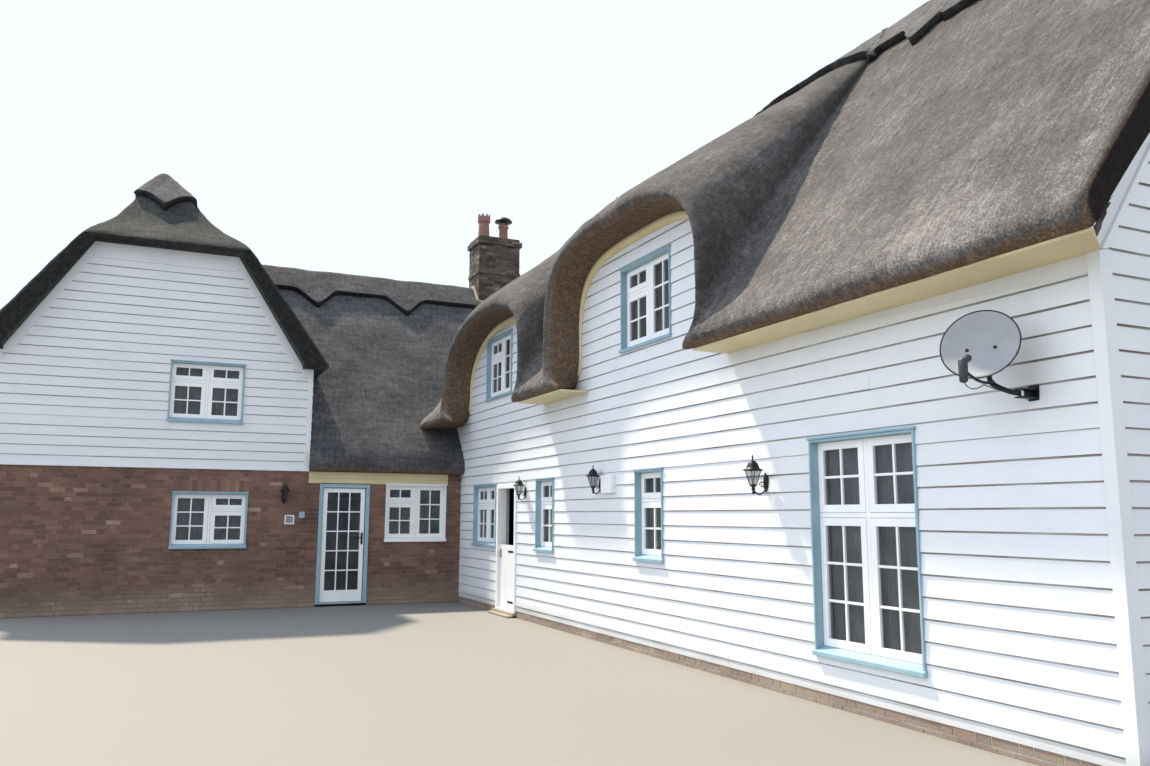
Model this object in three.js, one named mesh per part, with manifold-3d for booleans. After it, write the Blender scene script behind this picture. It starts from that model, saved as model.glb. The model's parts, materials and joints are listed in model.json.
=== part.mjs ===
// Thatched cottage in an L plan: a long white boarded wing with two swept dormers, a low brick
// range across the end of the courtyard and a gabled cross wing beyond it.
// Units are millimetres. +Z is up, +Y runs along the long wing away from its near gable, and +X
// runs across it. The origin is the middle of the footprint's box, at ground level.

import * as THREE from 'three';
import { mergeVertices } from 'three/addons/utils/BufferGeometryUtils.js';
import Module from 'manifold-3d';

const wasm = await Module();
wasm.setup();

// Driving dimensions

const gap = 0.3;
const boardWall = 200;
const brickWall = 330;

// Right wing, boarded, ridge along Y
const courtX = 800;
const outerX = 6860;
const nearY = -10010;
const farY = 4800;
const nearVergeY = -10300;
const wingRidgeX = (courtX + outerX) / 2;
const wingRidgeZ = 7870;
const wingPlateZ = 3310;
const eaveOut = 500;
const eaveTopZ = 3620;
const thatchDrop = 480;
const storeyZ = 2300;
const wingEdge = { dripIn: 60, topIn: 70, noseShare: 0.45 };
const wingKneeRise = 560;
const archKneeRise = 230;
const wingPeakZ = wingRidgeZ - thatchDrop - 90;

// Back range, brick, ridge along X
const backFrontY = 3240;
const backRearY = 10060;
const backRidgeY = (backFrontY + backRearY) / 2;
const backRidgeZ = 6900;
const backPlateZ = 2380;
const backEaveOut = 240;
const backEaveTopZ = 2660;
const beamZ = 2170;
const pierX = 530;

// Cross wing, brick below and boards above, ridge along Y
const crossLeftX = -7100;
const crossRightX = -2050;
const crossRidgeX = (crossLeftX + crossRightX) / 2;
const crossRidgeZ = 8080;
const crossPlateZ = 4220;
const crossEaveOut = 260;
const crossEaveTopZ = 4330;
const crossFrontVergeY = 2950;
const brickTopZ = 2390;
const gableEdge = { dripIn: 40, topIn: 50, noseShare: 0.4 };
const gableKneeRise = 60;

// Half hips
const hipFootZ = 6250;
const hipSlope = 0.97;
const hipDrop = 370;
const hipOver = 400;
const past = 200;
const boardClear = 10;
const hipBoardTop = (overhang) => hipFootZ + hipSlope * overhang - hipDrop - boardClear;

// Floors
const groundFloorZ = 60;
const upperFloorTopZ = 2600;
const upperFloorDepth = 190;

// Dormers of the right wing: each is an arch in the eaves that runs back to the ridge
const dormers = [
  { centre: -4140, half: 1930, top: 5150, nearPower: 3.0, farPower: 3.7 },
  { centre: 800, half: 1900, top: 4930, nearPower: 3.0, farPower: 2.1 },
];
const springZ = 3850;
const toe = 300;
const sweep = 500;
const crownThatch = 270;
// The near cheek is thin at its edge, meets the slope in a sharp valley and leans in towards the
// ridge, so the wall under it starts further in. The far cheek sweeps out softly.
const nearCheek = { thatch: 40, topSweep: 150, wallIn: 330, ridgeShare: 0.57 };
const farCheek = { thatch: 170, topSweep: 330, wallIn: 0, ridgeShare: 0.8 };
const archSteps = 16;
const sweepSteps = 5;
const toeStart = 0.4;

// Openings, as low and high values along the wall and in height
const bigWindow = [-8390, -7120, 430, 2285];
const narrowWindow = [-4470, -3800, 1090, 2150];
const middleWindow = [-1270, -600, 1090, 2150];
const stableDoor = [250, 1150, 70, 2120];
const doorWindow = [1220, 2400, 1090, 2130];
const dormerWindows = [[-4700, -3450, 3690, 4760], [530, 1800, 3650, 4720]];
const crossLowWindow = [-4270, -3060, 1050, 1970];
const crossHighWindow = [-4430, -3220, 3190, 4210];
const gardenDoor = [-1850, -950, 40, 2160];
const gardenWindow = [-650, 500, 1140, 2169];
const frameBar = 70;
const leafThickness = 45;
const stableSplitZ = 1130;

// Finishes

const finish = (color, roughness, metalness = 0) => ({ color, roughness, metalness });
const white = finish(0xeef1f4, 0.55);
const brick = finish(0x8a4c3a, 0.9);
const thatch = finish(0x6f6962, 1.0);
const cream = finish(0xeadfb4, 0.7);
const joinery = finish(0xdfe8ec, 0.5);
const timber = finish(0x8d7558, 0.8);
const stone = finish(0xb3aa9b, 0.85);
const soot = finish(0x4a3a34, 0.95);
const terracotta = finish(0xa2593f, 0.85);
const ironwork = finish(0x22242a, 0.5, 0.6);
const greyMetal = finish(0x8e9398, 0.45, 0.3);

const cottage = new THREE.Group();

// Reach of the blocks that cut right through a solid
const clear = 900;
const skyZ = 9000;
const cutPast = 50;

// Solids: three.js shapes turned into closed bodies that can be joined and cut

function closed(geometry) {
  const copy = geometry.index ? geometry.toNonIndexed() : geometry.clone();
  copy.deleteAttribute('normal');
  copy.deleteAttribute('uv');
  const merged = mergeVertices(copy, 0.001);
  const vertProperties = new Float32Array(merged.attributes.position.array);
  const triVerts = new Uint32Array(merged.index.array);
  return new wasm.Manifold(new wasm.Mesh({ numProp: 3, vertProperties, triVerts }));
}

function add(name, solid, look) {
  const data = solid.getMesh();
  const geometry = new THREE.BufferGeometry();
  geometry.setAttribute('position', new THREE.BufferAttribute(new Float32Array(data.vertProperties), 3));
  geometry.setIndex(new THREE.BufferAttribute(new Uint32Array(data.triVerts), 1));
  geometry.computeVertexNormals();
  const mesh = new THREE.Mesh(geometry, new THREE.MeshStandardMaterial(look));
  mesh.name = name;
  cottage.add(mesh);
  return mesh;
}

function union(solids) {
  return solids.reduce((sum, solid) => sum.add(solid));
}

// A prism from an outline of [u, v] points, with rectangular holes cut through it. The plane names
// its two axes: in 'yz' it is extruded along X, in 'xz' along Y and in 'xy' along Z, from low to high.
function prism(plane, outline, low, high, holes = []) {
  const shape = new THREE.Shape(outline.map(([u, v]) => new THREE.Vector2(u, v)));
  const geometry = new THREE.ExtrudeGeometry(shape, { depth: high - low, bevelEnabled: false });
  const axis = (x, y, z) => new THREE.Vector3(x, y, z);
  const bases = {
    yz: [axis(0, 1, 0), axis(0, 0, 1), axis(1, 0, 0), axis(low, 0, 0)],
    xz: [axis(1, 0, 0), axis(0, 0, 1), axis(0, -1, 0), axis(0, high, 0)],
    xy: [axis(1, 0, 0), axis(0, 1, 0), axis(0, 0, 1), axis(0, 0, low)],
  };
  const [u, v, w, origin] = bases[plane];
  geometry.applyMatrix4(new THREE.Matrix4().makeBasis(u, v, w).setPosition(origin));
  const through = holes.map((hole) => prism(plane, rectangle(...hole), low - cutPast, high + cutPast));
  return through.reduce((body, hole) => body.subtract(hole), closed(geometry));
}

function rectangle(u0, u1, v0, v1) {
  return [[u0, v0], [u1, v0], [u1, v1], [u0, v1]];
}

function box(x0, x1, y0, y1, z0, z1) {
  return prism('xy', rectangle(x0, x1, y0, y1), z0, z1);
}

// A round or many-sided body turned about +Z from [radius, height] points, then placed
function turned(profile, sides, place) {
  const geometry = new THREE.LatheGeometry(profile.map(([r, h]) => new THREE.Vector2(r, h)), sides);
  geometry.rotateX(Math.PI / 2);
  geometry.applyMatrix4(place);
  return closed(geometry);
}

function rod(from, to, radius, sides = 8) {
  const start = new THREE.Vector3(...from);
  const end = new THREE.Vector3(...to);
  const length = start.distanceTo(end);
  const geometry = new THREE.CylinderGeometry(radius, radius, length, sides);
  const along = end.clone().sub(start).normalize();
  const turn = new THREE.Quaternion().setFromUnitVectors(new THREE.Vector3(0, 1, 0), along);
  const middle = start.clone().add(end).multiplyScalar(0.5);
  geometry.applyMatrix4(new THREE.Matrix4().compose(middle, turn, new THREE.Vector3(1, 1, 1)));
  return closed(geometry);
}

// Skin of a solid from cross sections along Y: closed loops with the same number of points,
// each running anticlockwise as seen with X to the right and Z up
function loft(loops) {
  const count = loops[0].length;
  const index = [];
  for (let i = 0; i < loops.length - 1; i += 1) {
    for (let j = 0; j < count; j += 1) {
      const a = i * count + j;
      const b = i * count + ((j + 1) % count);
      index.push(a, a + count, b, b, a + count, b + count);
    }
  }
  const outline = loops[0].map(([x, , z]) => new THREE.Vector2(x, z));
  const last = (loops.length - 1) * count;
  for (const [a, b, c] of THREE.ShapeUtils.triangulateShape(outline, [])) {
    index.push(a, b, c);
    index.push(last + a, last + c, last + b);
  }
  const geometry = new THREE.BufferGeometry();
  geometry.setAttribute('position', new THREE.Float32BufferAttribute(loops.flat(2), 3));
  geometry.setIndex(index);
  return closed(geometry);
}

// Eaves line of the right wing. Each station gives, as [y, z], the drip edge, the edge of the top
// surface and the line where the thatch meets the wall, then the y of the ridge's point that it runs
// to and the height of the roof space against the wall.
// Between the dormers the line is level. Each dormer's arch is a superellipse that stands on a
// short sweep, whose drip edge ends in a toe that reaches inwards.

function plainStation(y) {
  return {
    drip: [y, wingPlateZ], top: [y, eaveTopZ], wall: [y, wingPlateZ], ridge: y, knee: wingPlateZ + wingKneeRise,
  };
}

function sweepStation(dormer, side, share) {
  const { thatch: cheek, topSweep, wallIn, ridgeShare } = side > 0 ? nearCheek : farCheek;
  const jamb = dormer.centre - side * dormer.half;
  const turn = (share * Math.PI) / 2;
  const start = jamb - side * sweep;
  const topStart = jamb - side * (cheek + topSweep);
  const ridgeReach = dormer.centre - side * ridgeShare * dormer.half - topStart;
  const rise = springZ - wingPlateZ;
  const toeShare = Math.max(0, (share - toeStart) / (1 - toeStart));
  const level = Math.min(1, share / toeStart);
  const dripY = toeShare > 0
    ? jamb + side * toe * (1 - toeShare) ** 2
    : start + side * (sweep + toe) * level;
  return {
    drip: [dripY, wingPlateZ + rise * toeShare],
    top: [
      topStart + side * topSweep * Math.sin(turn),
      eaveTopZ + (springZ - eaveTopZ) * (1 - Math.cos(turn)),
    ],
    wall: [start + side * (sweep + wallIn) * Math.sin(turn), wingPlateZ + rise * (1 - Math.cos(turn))],
    ridge: topStart + ridgeReach * Math.sin(turn),
    knee: wingPlateZ + wingKneeRise,
  };
}

function archStation({ centre, half, top, nearPower, farPower }, angle) {
  const near = angle < Math.PI / 2;
  const power = near ? nearPower : farPower;
  const { thatch: cheek, wallIn, ridgeShare } = near ? nearCheek : farCheek;
  const cosine = Math.cos(angle);
  const lift = Math.max(0, Math.sin(angle));
  const y = centre - half * Math.sign(cosine) * Math.abs(cosine) ** (2 / power);
  const z = springZ + (top - springZ) * lift ** (2 / power);
  const thickness = cheek + (crownThatch - cheek) * lift;
  const plainKnee = wingPlateZ + wingKneeRise;
  return {
    drip: [y, z],
    top: [y - thickness * cosine, z + thickness * lift],
    wall: [y + wallIn * cosine, z],
    ridge: centre - ridgeShare * half * cosine,
    knee: plainKnee + (top + archKneeRise - plainKnee) * lift,
  };
}

function eavesStations() {
  const stations = [plainStation(nearVergeY)];
  for (const dormer of dormers) {
    for (let i = 0; i < sweepSteps; i += 1) {
      stations.push(sweepStation(dormer, 1, i / sweepSteps));
    }
    for (let i = 0; i <= archSteps; i += 1) {
      stations.push(archStation(dormer, (Math.PI * i) / archSteps));
    }
    for (let i = sweepSteps - 1; i >= 0; i -= 1) {
      stations.push(sweepStation(dormer, -1, i / sweepSteps));
    }
  }
  stations.push(plainStation(farY));
  return stations;
}

// One cross section of the right wing's thatch envelope, mirrored about the ridge.
// extra grows it on every side.
function wingSection(station, extra = 0) {
  const halfWidth = wingRidgeX - courtX;
  const [dripY, dripZ] = station.drip;
  const [topY, topZ] = station.top;
  const [wallY, wallZ] = station.wall;
  const half = [
    [halfWidth, wallY, wallZ - extra],
    [halfWidth + eaveOut - wingEdge.dripIn, dripY, dripZ - extra],
    [halfWidth + eaveOut + extra, (dripY + topY) / 2, dripZ + (topZ - dripZ) * wingEdge.noseShare],
    [halfWidth + eaveOut - wingEdge.topIn, topY, topZ + extra],
    [0, station.ridge, wingRidgeZ + extra],
  ];
  const left = half.map(([across, y, z]) => [wingRidgeX - across, y, z]);
  const right = half.slice(0, 4).reverse().map(([across, y, z]) => [wingRidgeX + across, y, z]);
  return [...left, ...right].reverse();
}

// The roof space under it: upright inside the walls, then parallel to the thatch
function wingHollow(station) {
  const inner = wingRidgeX - courtX - boardWall;
  const [wallY, wallZ] = station.wall;
  const half = [
    [inner, wallY, wallZ - clear],
    [inner, wallY, station.knee],
    [0, station.ridge, wingPeakZ],
  ];
  const left = half.map(([across, y, z]) => [wingRidgeX - across, y, z]);
  const right = half.slice(0, 2).reverse().map(([across, y, z]) => [wingRidgeX + across, y, z]);
  return [...left, ...right].reverse();
}

const stations = eavesStations();

// Side profile that gives a wing its half hips, as an outline of [y, z]
function hippedProfile(lowY, highY, drop, hipLow, hipHigh, ridgeZ) {
  const run = (ridgeZ + hipOver - hipFootZ) / hipSlope;
  const footZ = hipFootZ - drop;
  const topZ = footZ + run * hipSlope;
  const low = hipLow ? [[lowY + run, topZ], [lowY, footZ]] : [[lowY, ridgeZ + clear]];
  const high = hipHigh ? [[highY, footZ], [highY - run, topZ]] : [[highY, ridgeZ + clear]];
  return [[lowY, 0], [highY, 0], ...high, ...low];
}

const trimOver = 5;

function wingEnvelope(extra = 0) {
  const body = loft(stations.map((station) => wingSection(station, extra)));
  const profile = hippedProfile(nearVergeY - trimOver, farY + extra, 0, true, false, wingRidgeZ);
  return body.intersect(prism('yz', profile, courtX - clear, outerX + clear));
}

function wingRoof() {
  const hollow = loft([
    wingHollow(plainStation(nearVergeY - past)),
    ...stations.slice(1, -1).map((station) => wingHollow(station)),
    wingHollow(plainStation(farY + past)),
  ]);
  const profile = hippedProfile(nearVergeY - past, farY + past, hipDrop + past * hipSlope, true, false,
    wingRidgeZ);
  return wingEnvelope().subtract(hollow.intersect(prism('yz', profile, courtX, outerX)));
}

// Gabled section across a straight roof, as [u, z] points: nose, top edge, ridge and the same back
function gableSection(centre, halfWidth, out, plateZ, topZ, ridgeZ, extra = 0) {
  const half = [
    [halfWidth, plateZ - extra],
    [halfWidth + out - gableEdge.dripIn, plateZ - extra],
    [halfWidth + out + extra, plateZ + (topZ - plateZ) * gableEdge.noseShare],
    [halfWidth + out - gableEdge.topIn, topZ + extra],
    [0, ridgeZ + extra],
  ];
  const right = half.map(([across, z]) => [centre + across, z]);
  const left = half.slice(0, 4).reverse().map(([across, z]) => [centre - across, z]);
  return [...right, ...left];
}

function gableHollow(centre, innerHalf, plateZ, kneeZ, peakZ) {
  const half = [[innerHalf, plateZ - clear], [innerHalf, kneeZ], [0, peakZ]];
  const right = half.map(([across, z]) => [centre + across, z]);
  const left = half.slice(0, 2).reverse().map(([across, z]) => [centre - across, z]);
  return [...right, ...left];
}

const crossHalf = (crossRightX - crossLeftX) / 2;
const crossRearVergeY = backRearY + backEaveOut;

function crossEnvelope(extra = 0) {
  const section = gableSection(crossRidgeX, crossHalf, crossEaveOut, crossPlateZ, crossEaveTopZ,
    crossRidgeZ, extra);
  const run = prism('xz', section, crossFrontVergeY - extra, crossRearVergeY + extra);
  const profile = hippedProfile(crossFrontVergeY - extra, crossRearVergeY + extra, -extra, true, true,
    crossRidgeZ);
  return run.intersect(prism('yz', profile, crossLeftX - clear, crossRightX + clear));
}

function crossRoof() {
  const innerHalf = crossHalf - boardWall;
  const hollow = prism('xz', gableHollow(crossRidgeX, innerHalf, crossPlateZ, crossPlateZ + gableKneeRise,
    crossRidgeZ - thatchDrop), crossFrontVergeY - past, crossRearVergeY + past);
  const profile = hippedProfile(crossFrontVergeY - past, crossRearVergeY + past,
    hipDrop + past * hipSlope, true, true, crossRidgeZ);
  return crossEnvelope().subtract(hollow.intersect(prism('yz', profile, crossLeftX, crossRightX)));
}

// Chimney
const stackX = [2080, 3080];
const stackY = [6250, 7000];
const stackTopZ = 8170;

function backRoof() {
  const half = backRearY - backRidgeY;
  const hipCentre = outerX - half;
  const section = (centre) => gableSection(centre, half, backEaveOut, backPlateZ, backEaveTopZ, backRidgeZ);
  const kneeZ = backPlateZ + gableKneeRise;
  const peakZ = backRidgeZ - thatchDrop;
  const hollow = (centre) => gableHollow(centre, half - brickWall, backPlateZ, kneeZ, peakZ);
  const hipSide = (points, leftX, topZ) => [[leftX, 0], [points[0][0], 0], ...points, [leftX, topZ]];
  const leftEnd = crossRidgeX;
  const outerSide = hipSide(section(hipCentre).slice(0, 5), leftEnd, backRidgeZ + clear);
  const innerSide = hipSide(hollow(hipCentre).slice(0, 3), leftEnd - clear, peakZ);
  const depth = [backFrontY - clear, backRearY + clear];
  const outer = prism('yz', section(backRidgeY), leftEnd, outerX + backEaveOut + cutPast)
    .intersect(prism('xz', outerSide, ...depth));
  const inner = prism('yz', hollow(backRidgeY), leftEnd - past, outerX)
    .intersect(prism('xz', innerSide, ...depth));
  const wingBlock = box(courtX - gap, outerX + clear, depth[0], farY + gap, 0, skyZ);
  const crossBlock = box(crossLeftX - clear, crossRightX + gap, 0, depth[1], 0, crossPlateZ);
  const stackHole = box(stackX[0] - gap, stackX[1] + gap, stackY[0] - gap, stackY[1] + gap, 0, skyZ);
  return outer.subtract(inner)
    .subtract(wingEnvelope(gap))
    .subtract(wingBlock)
    .subtract(crossEnvelope(gap))
    .subtract(crossSolidUnder())
    .subtract(crossBlock)
    .subtract(stackHole);
}

// The space under the cross wing's roof, which the back range's roof stays out of
function crossSolidUnder() {
  const within = thatchDrop / 2;
  const outline = [
    [crossLeftX, 0], [crossRightX + gap, 0], [crossRightX + gap, crossPlateZ + within],
    [crossRidgeX, crossRidgeZ - within], [crossLeftX, crossPlateZ + within],
  ];
  return prism('xz', outline, crossFrontVergeY, crossRearVergeY + clear);
}

add('right_wing_thatch', wingRoof(), thatch);
add('cross_wing_thatch', crossRoof(), thatch);
add('back_range_thatch', backRoof(), thatch);

// Walls of the right wing

const wallTopLine = stations.map(({ wall: [y, z] }) => [y, z - gap]);

function upperOutline(lowY, highY) {
  const line = wallTopLine.filter(([y]) => y > lowY && y < highY);
  const top = [[lowY, wingPlateZ - gap], ...line, [highY, wingPlateZ - gap]];
  return top.reverse();
}

const nearInner = nearY + boardWall + gap;

// The storey over the courtyard comes down to the head of the stable door
const overDoor = [
  [nearInner, storeyZ + gap], [stableDoor[0], storeyZ + gap], [stableDoor[0], stableDoor[3] + gap],
  [stableDoor[1], stableDoor[3] + gap], [stableDoor[1], storeyZ + gap], [farY - boardWall - gap, storeyZ + gap],
];
add('courtyard_wall_near', prism('yz', rectangle(nearInner, stableDoor[0] - gap, 0, storeyZ),
  courtX, courtX + boardWall, [bigWindow, narrowWindow, middleWindow]), white);
add('courtyard_wall_far', prism('yz', rectangle(stableDoor[1] + gap, backFrontY - gap, 0, storeyZ),
  courtX, courtX + boardWall, [doorWindow]), white);
add('courtyard_wall_upper', prism('yz', [...overDoor, ...upperOutline(nearInner, farY - boardWall - gap)],
  courtX, courtX + boardWall, dormerWindows), white);

const rowZ = [1090, 2130];
const gardenSideWindows = [[-8390, -7120], [-4770, -3500], [165, 1435]].map((span) => [...span, ...rowZ]);
add('garden_side_wall', prism('yz', [
  [nearInner, 0], [farY - boardWall - gap, 0], ...upperOutline(nearInner, farY - boardWall - gap),
], outerX - boardWall, outerX, [...gardenSideWindows, ...dormerWindows]), white);

// Gable outline under a roof space, kept clear of it by the gap, cut level at the half hip
function gableOutline(centre, outerHalf, innerHalf, baseZ, plateZ, kneeZ, peakZ, levelZ) {
  const slope = (peakZ - kneeZ) / innerHalf;
  const half = [
    [outerHalf, baseZ], [outerHalf, plateZ - gap], [innerHalf - gap, plateZ - gap],
    [innerHalf - gap, kneeZ - 2 * gap],
  ];
  const top = levelZ < peakZ ? [(peakZ - levelZ) / slope - 2 * gap, levelZ] : [0, peakZ - 2 * gap];
  const right = [...half, top].map(([across, z]) => [centre + across, z]);
  const left = [top, ...half.slice().reverse()].map(([across, z]) => [centre - across, z]);
  return levelZ < peakZ ? [...right, ...left] : [...right, ...left.slice(1)];
}

const wingInner = wingRidgeX - courtX - boardWall;
const wingKneeZ = wingPlateZ + wingKneeRise;
const nearGableWindows = [[3200, 4460, ...rowZ], [3200, 4460, 3690, 4760]];
add('near_gable_wall', prism('xz', gableOutline(wingRidgeX, wingRidgeX - courtX, wingInner, 0, wingPlateZ,
  wingKneeZ, wingPeakZ, hipBoardTop(nearY - nearVergeY)), nearY, nearY + boardWall, nearGableWindows), white);
add('far_gable_wall', prism('xz', gableOutline(wingRidgeX, wingRidgeX - courtX, wingInner,
  upperFloorTopZ + gap, wingPlateZ, wingKneeZ, wingPeakZ, skyZ), farY - boardWall, farY - 2 * gap), white);

// Brick walls of the back range and of the cross wing's lower storey

add('front_brick_wall_left', prism('xz', [
  [crossLeftX, 0], [gardenDoor[0] - gap, 0], [gardenDoor[0] - gap, beamZ - gap],
  [crossRightX, beamZ - gap], [crossRightX, brickTopZ], [crossLeftX, brickTopZ],
], backFrontY, backFrontY + brickWall, [crossLowWindow]), brick);
add('front_brick_wall_right', prism('xz', [
  [gardenDoor[1] + gap, 0], [courtX + boardWall, 0], [courtX + boardWall, storeyZ],
  [courtX - gap, storeyZ], [courtX - gap, backPlateZ - gap],
  [pierX + gap, backPlateZ - gap], [pierX + gap, gardenWindow[3]], [gardenWindow[1], gardenWindow[3]],
  [gardenWindow[1], gardenWindow[2]], [gardenWindow[0], gardenWindow[2]], [gardenWindow[0], gardenWindow[3]],
  [gardenDoor[1] + gap, gardenWindow[3]],
], backFrontY, backFrontY + brickWall), brick);
add('front_eaves_beam', box(crossRightX + gap, pierX, backFrontY, backFrontY + brickWall, beamZ,
  backPlateZ - gap), cream);
const rearHoles = [[-5205, -3945], [-400, 860], [3900, 5160]].map((span) => [...span, 1090, 2050]);
add('rear_brick_wall', prism('xz', rectangle(crossLeftX, outerX, 0, backPlateZ - gap),
  backRearY - brickWall, backRearY, rearHoles), brick);
add('end_brick_wall', prism('yz', rectangle(farY - boardWall + gap, backRearY - brickWall - gap, 0,
  backPlateZ - boardClear), outerX - brickWall, outerX), brick);
const sideInnerY = [backFrontY + brickWall + gap, backRearY - brickWall - gap];
const sideLowHoles = [[4600, 5800, 1090, 2010], [7500, 8700, 1090, 2010]];
add('cross_wing_side_brick_wall', prism('yz', rectangle(...sideInnerY, 0, brickTopZ - gap),
  crossLeftX, crossLeftX + brickWall, sideLowHoles), brick);

// Boarded upper storey of the cross wing

const sideHighHoles = [[4600, 5800, 3000, 3900], [7500, 8700, 3000, 3900]];
const gableInnerY = [backFrontY + boardWall + gap, backRearY - boardWall - gap];
add('cross_wing_side_board_wall', prism('yz', rectangle(...gableInnerY, brickTopZ + gap, crossPlateZ - gap),
  crossLeftX, crossLeftX + boardWall, sideHighHoles), white);
add('cross_wing_cheek_wall', prism('yz', rectangle(...gableInnerY, upperFloorTopZ + gap, crossPlateZ - gap),
  crossRightX - boardWall, crossRightX), white);
const crossInner = crossHalf - boardWall;
const crossGable = (overhang) => gableOutline(crossRidgeX, crossHalf, crossInner, brickTopZ + gap,
  crossPlateZ, crossPlateZ + gableKneeRise, crossRidgeZ - thatchDrop, hipBoardTop(overhang));
add('cross_wing_front_gable', prism('xz', crossGable(backFrontY - crossFrontVergeY), backFrontY,
  backFrontY + boardWall, [crossHighWindow]), white);
const rearGableWindow = [-5205, -3945, 3190, 4210];
add('cross_wing_rear_gable', prism('xz', crossGable(backEaveOut), backRearY - boardWall, backRearY,
  [rearGableWindow]), white);

// Floors

const brickInnerX = [crossLeftX + brickWall + gap, outerX - brickWall - gap];
const wingInnerX = [courtX + boardWall + gap, outerX - boardWall - gap];
add('ground_floor', prism('xy', [
  [wingInnerX[0], nearInner], [wingInnerX[1], nearInner], [wingInnerX[1], farY - boardWall - gap],
  [brickInnerX[1], farY - boardWall - gap], [brickInnerX[1], sideInnerY[1]],
  [brickInnerX[0], sideInnerY[1]], [brickInnerX[0], sideInnerY[0]], [wingInnerX[0], sideInnerY[0]],
], 0, groundFloorZ), stone);
const upperLowZ = upperFloorTopZ - upperFloorDepth;
add('right_wing_upper_floor', prism('xy', [
  [wingInnerX[0], nearInner], [wingInnerX[1], nearInner], [wingInnerX[1], farY - boardWall - gap],
  [outerX, farY - boardWall - gap], [outerX, farY - 2 * gap], [courtX, farY - 2 * gap],
  [courtX, farY - boardWall + gap], [wingInnerX[0], farY - boardWall + gap],
], upperLowZ, upperFloorTopZ), timber);
add('cross_wing_upper_floor', prism('xy', [
  [crossLeftX + boardWall + gap, gableInnerY[0]], [crossRightX, gableInnerY[0]],
  [crossRightX, gableInnerY[1]], [crossLeftX + boardWall + gap, gableInnerY[1]],
], upperLowZ, upperFloorTopZ), timber);

// Windows. Each is a box frame with upright and level bars and a pane that closes it.
// side is the way the wall faces, at is its outer face, and the hole is its opening.

const frameProud = 30;
const frameDepth = 130;
const paneThickness = 8;
const paneSet = 60;
const paneRebate = frameBar - 50;
const sheetPast = 40;

function frameBars([u0, u1, v0, v1], uprights, rails) {
  const edge = frameBar;
  const columns = [u0 + edge];
  for (const middle of uprights) {
    columns.push(middle - edge / 2, middle + edge / 2);
  }
  columns.push(u1 - edge);
  const rows = [v0 + edge];
  for (const middle of rails) {
    rows.push(middle - edge / 2, middle + edge / 2);
  }
  rows.push(v1 - edge);
  const lights = [];
  for (let i = 0; i < columns.length; i += 2) {
    for (let j = 0; j < rows.length; j += 2) {
      lights.push([columns[i], columns[i + 1], rows[j], rows[j + 1]]);
    }
  }
  return lights;
}

function windowFrame(plane, at, side, hole, uprights, rails, reach) {
  const [u0, u1, v0, v1] = hole;
  const trimmed = [u0 + gap, u1 - gap, v0 + gap, v1 - gap];
  const outside = at + side * frameProud;
  const inside = at - side * reach;
  return prism(plane, rectangle(...trimmed), Math.min(outside, inside), Math.max(outside, inside),
    frameBars(trimmed, uprights, rails));
}

function windowSolid(plane, at, side, hole, uprights, rails) {
  const [u0, u1, v0, v1] = hole;
  const paneAt = at - side * paneSet;
  const pane = prism(plane, rectangle(u0 + paneRebate, u1 - paneRebate, v0 + paneRebate, v1 - paneRebate),
    paneAt, paneAt + paneThickness);
  return windowFrame(plane, at, side, hole, uprights, rails, frameDepth).add(pane);
}

const middle = ([u0, u1]) => (u0 + u1) / 2;

const mullioned = (hole) => [hole, [middle(hole)], []];

const bigTransomZ = 1620;
const smallTransomZ = 1780;
const yzWindows = {
  big_casement_window: [courtX, -1, [bigWindow, [middle(bigWindow)], [bigTransomZ]]],
  narrow_window: [courtX, -1, [narrowWindow, [], [smallTransomZ]]],
  middle_window: [courtX, -1, [middleWindow, [], [smallTransomZ]]],
  door_side_window: [courtX, -1, mullioned(doorWindow)],
  near_dormer_window: [courtX, -1, mullioned(dormerWindows[0])],
  far_dormer_window: [courtX, -1, mullioned(dormerWindows[1])],
  garden_side_near_dormer_window: [outerX, 1, mullioned(dormerWindows[0])],
  garden_side_far_dormer_window: [outerX, 1, mullioned(dormerWindows[1])],
};
for (const [name, [at, side, parts]] of Object.entries(yzWindows)) {
  add(name, windowSolid('yz', at, side, ...parts), joinery);
}
const xzWindows = {
  cross_wing_lower_window: [backFrontY, -1, crossLowWindow],
  cross_wing_upper_window: [backFrontY, -1, crossHighWindow],
  back_range_window: [backFrontY, -1, gardenWindow],
  near_gable_lower_window: [nearY, -1, nearGableWindows[0]],
  near_gable_upper_window: [nearY, -1, nearGableWindows[1]],
  cross_wing_rear_window: [backRearY, 1, rearGableWindow],
};
for (const [name, [at, side, hole]] of Object.entries(xzWindows)) {
  add(name, windowSolid('xz', at, side, ...mullioned(hole)), joinery);
}

// Windows of one storey of an unseen wall, joined by one sheet of glass against the wall's inner face
function windowRow(plane, at, side, holes, thickness) {
  const reach = thickness + 2 * gap;
  const frames = holes.map((hole) => windowFrame(plane, at, side, hole, [middle(hole)], [], reach));
  const first = holes[0];
  const last = holes[holes.length - 1];
  const near = at - side * (thickness + gap);
  const far = at - side * (thickness + gap + paneThickness);
  const sheet = prism(plane, rectangle(first[0] - sheetPast, last[1] + sheetPast,
    first[2] - sheetPast, first[3] + sheetPast),
    Math.min(near, far), Math.max(near, far));
  return union([...frames, sheet]);
}

add('garden_side_windows', windowRow('yz', outerX, 1, gardenSideWindows, boardWall), joinery);
add('rear_windows', windowRow('xz', backRearY, 1, rearHoles, brickWall), joinery);
add('cross_wing_side_lower_windows', windowRow('yz', crossLeftX, -1, sideLowHoles, brickWall), joinery);
add('cross_wing_side_upper_windows', windowRow('yz', crossLeftX, -1, sideHighHoles, boardWall), joinery);

// Doors. Both leaves in use hang on pins at their inner corner and swing inwards.

const hingeGap = 6;
const latchGap = 8;
const leafSet = 12;
const pinSet = 10;
const pinSides = 10;
const leafMeet = 5;
const doorSill = 30;

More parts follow.
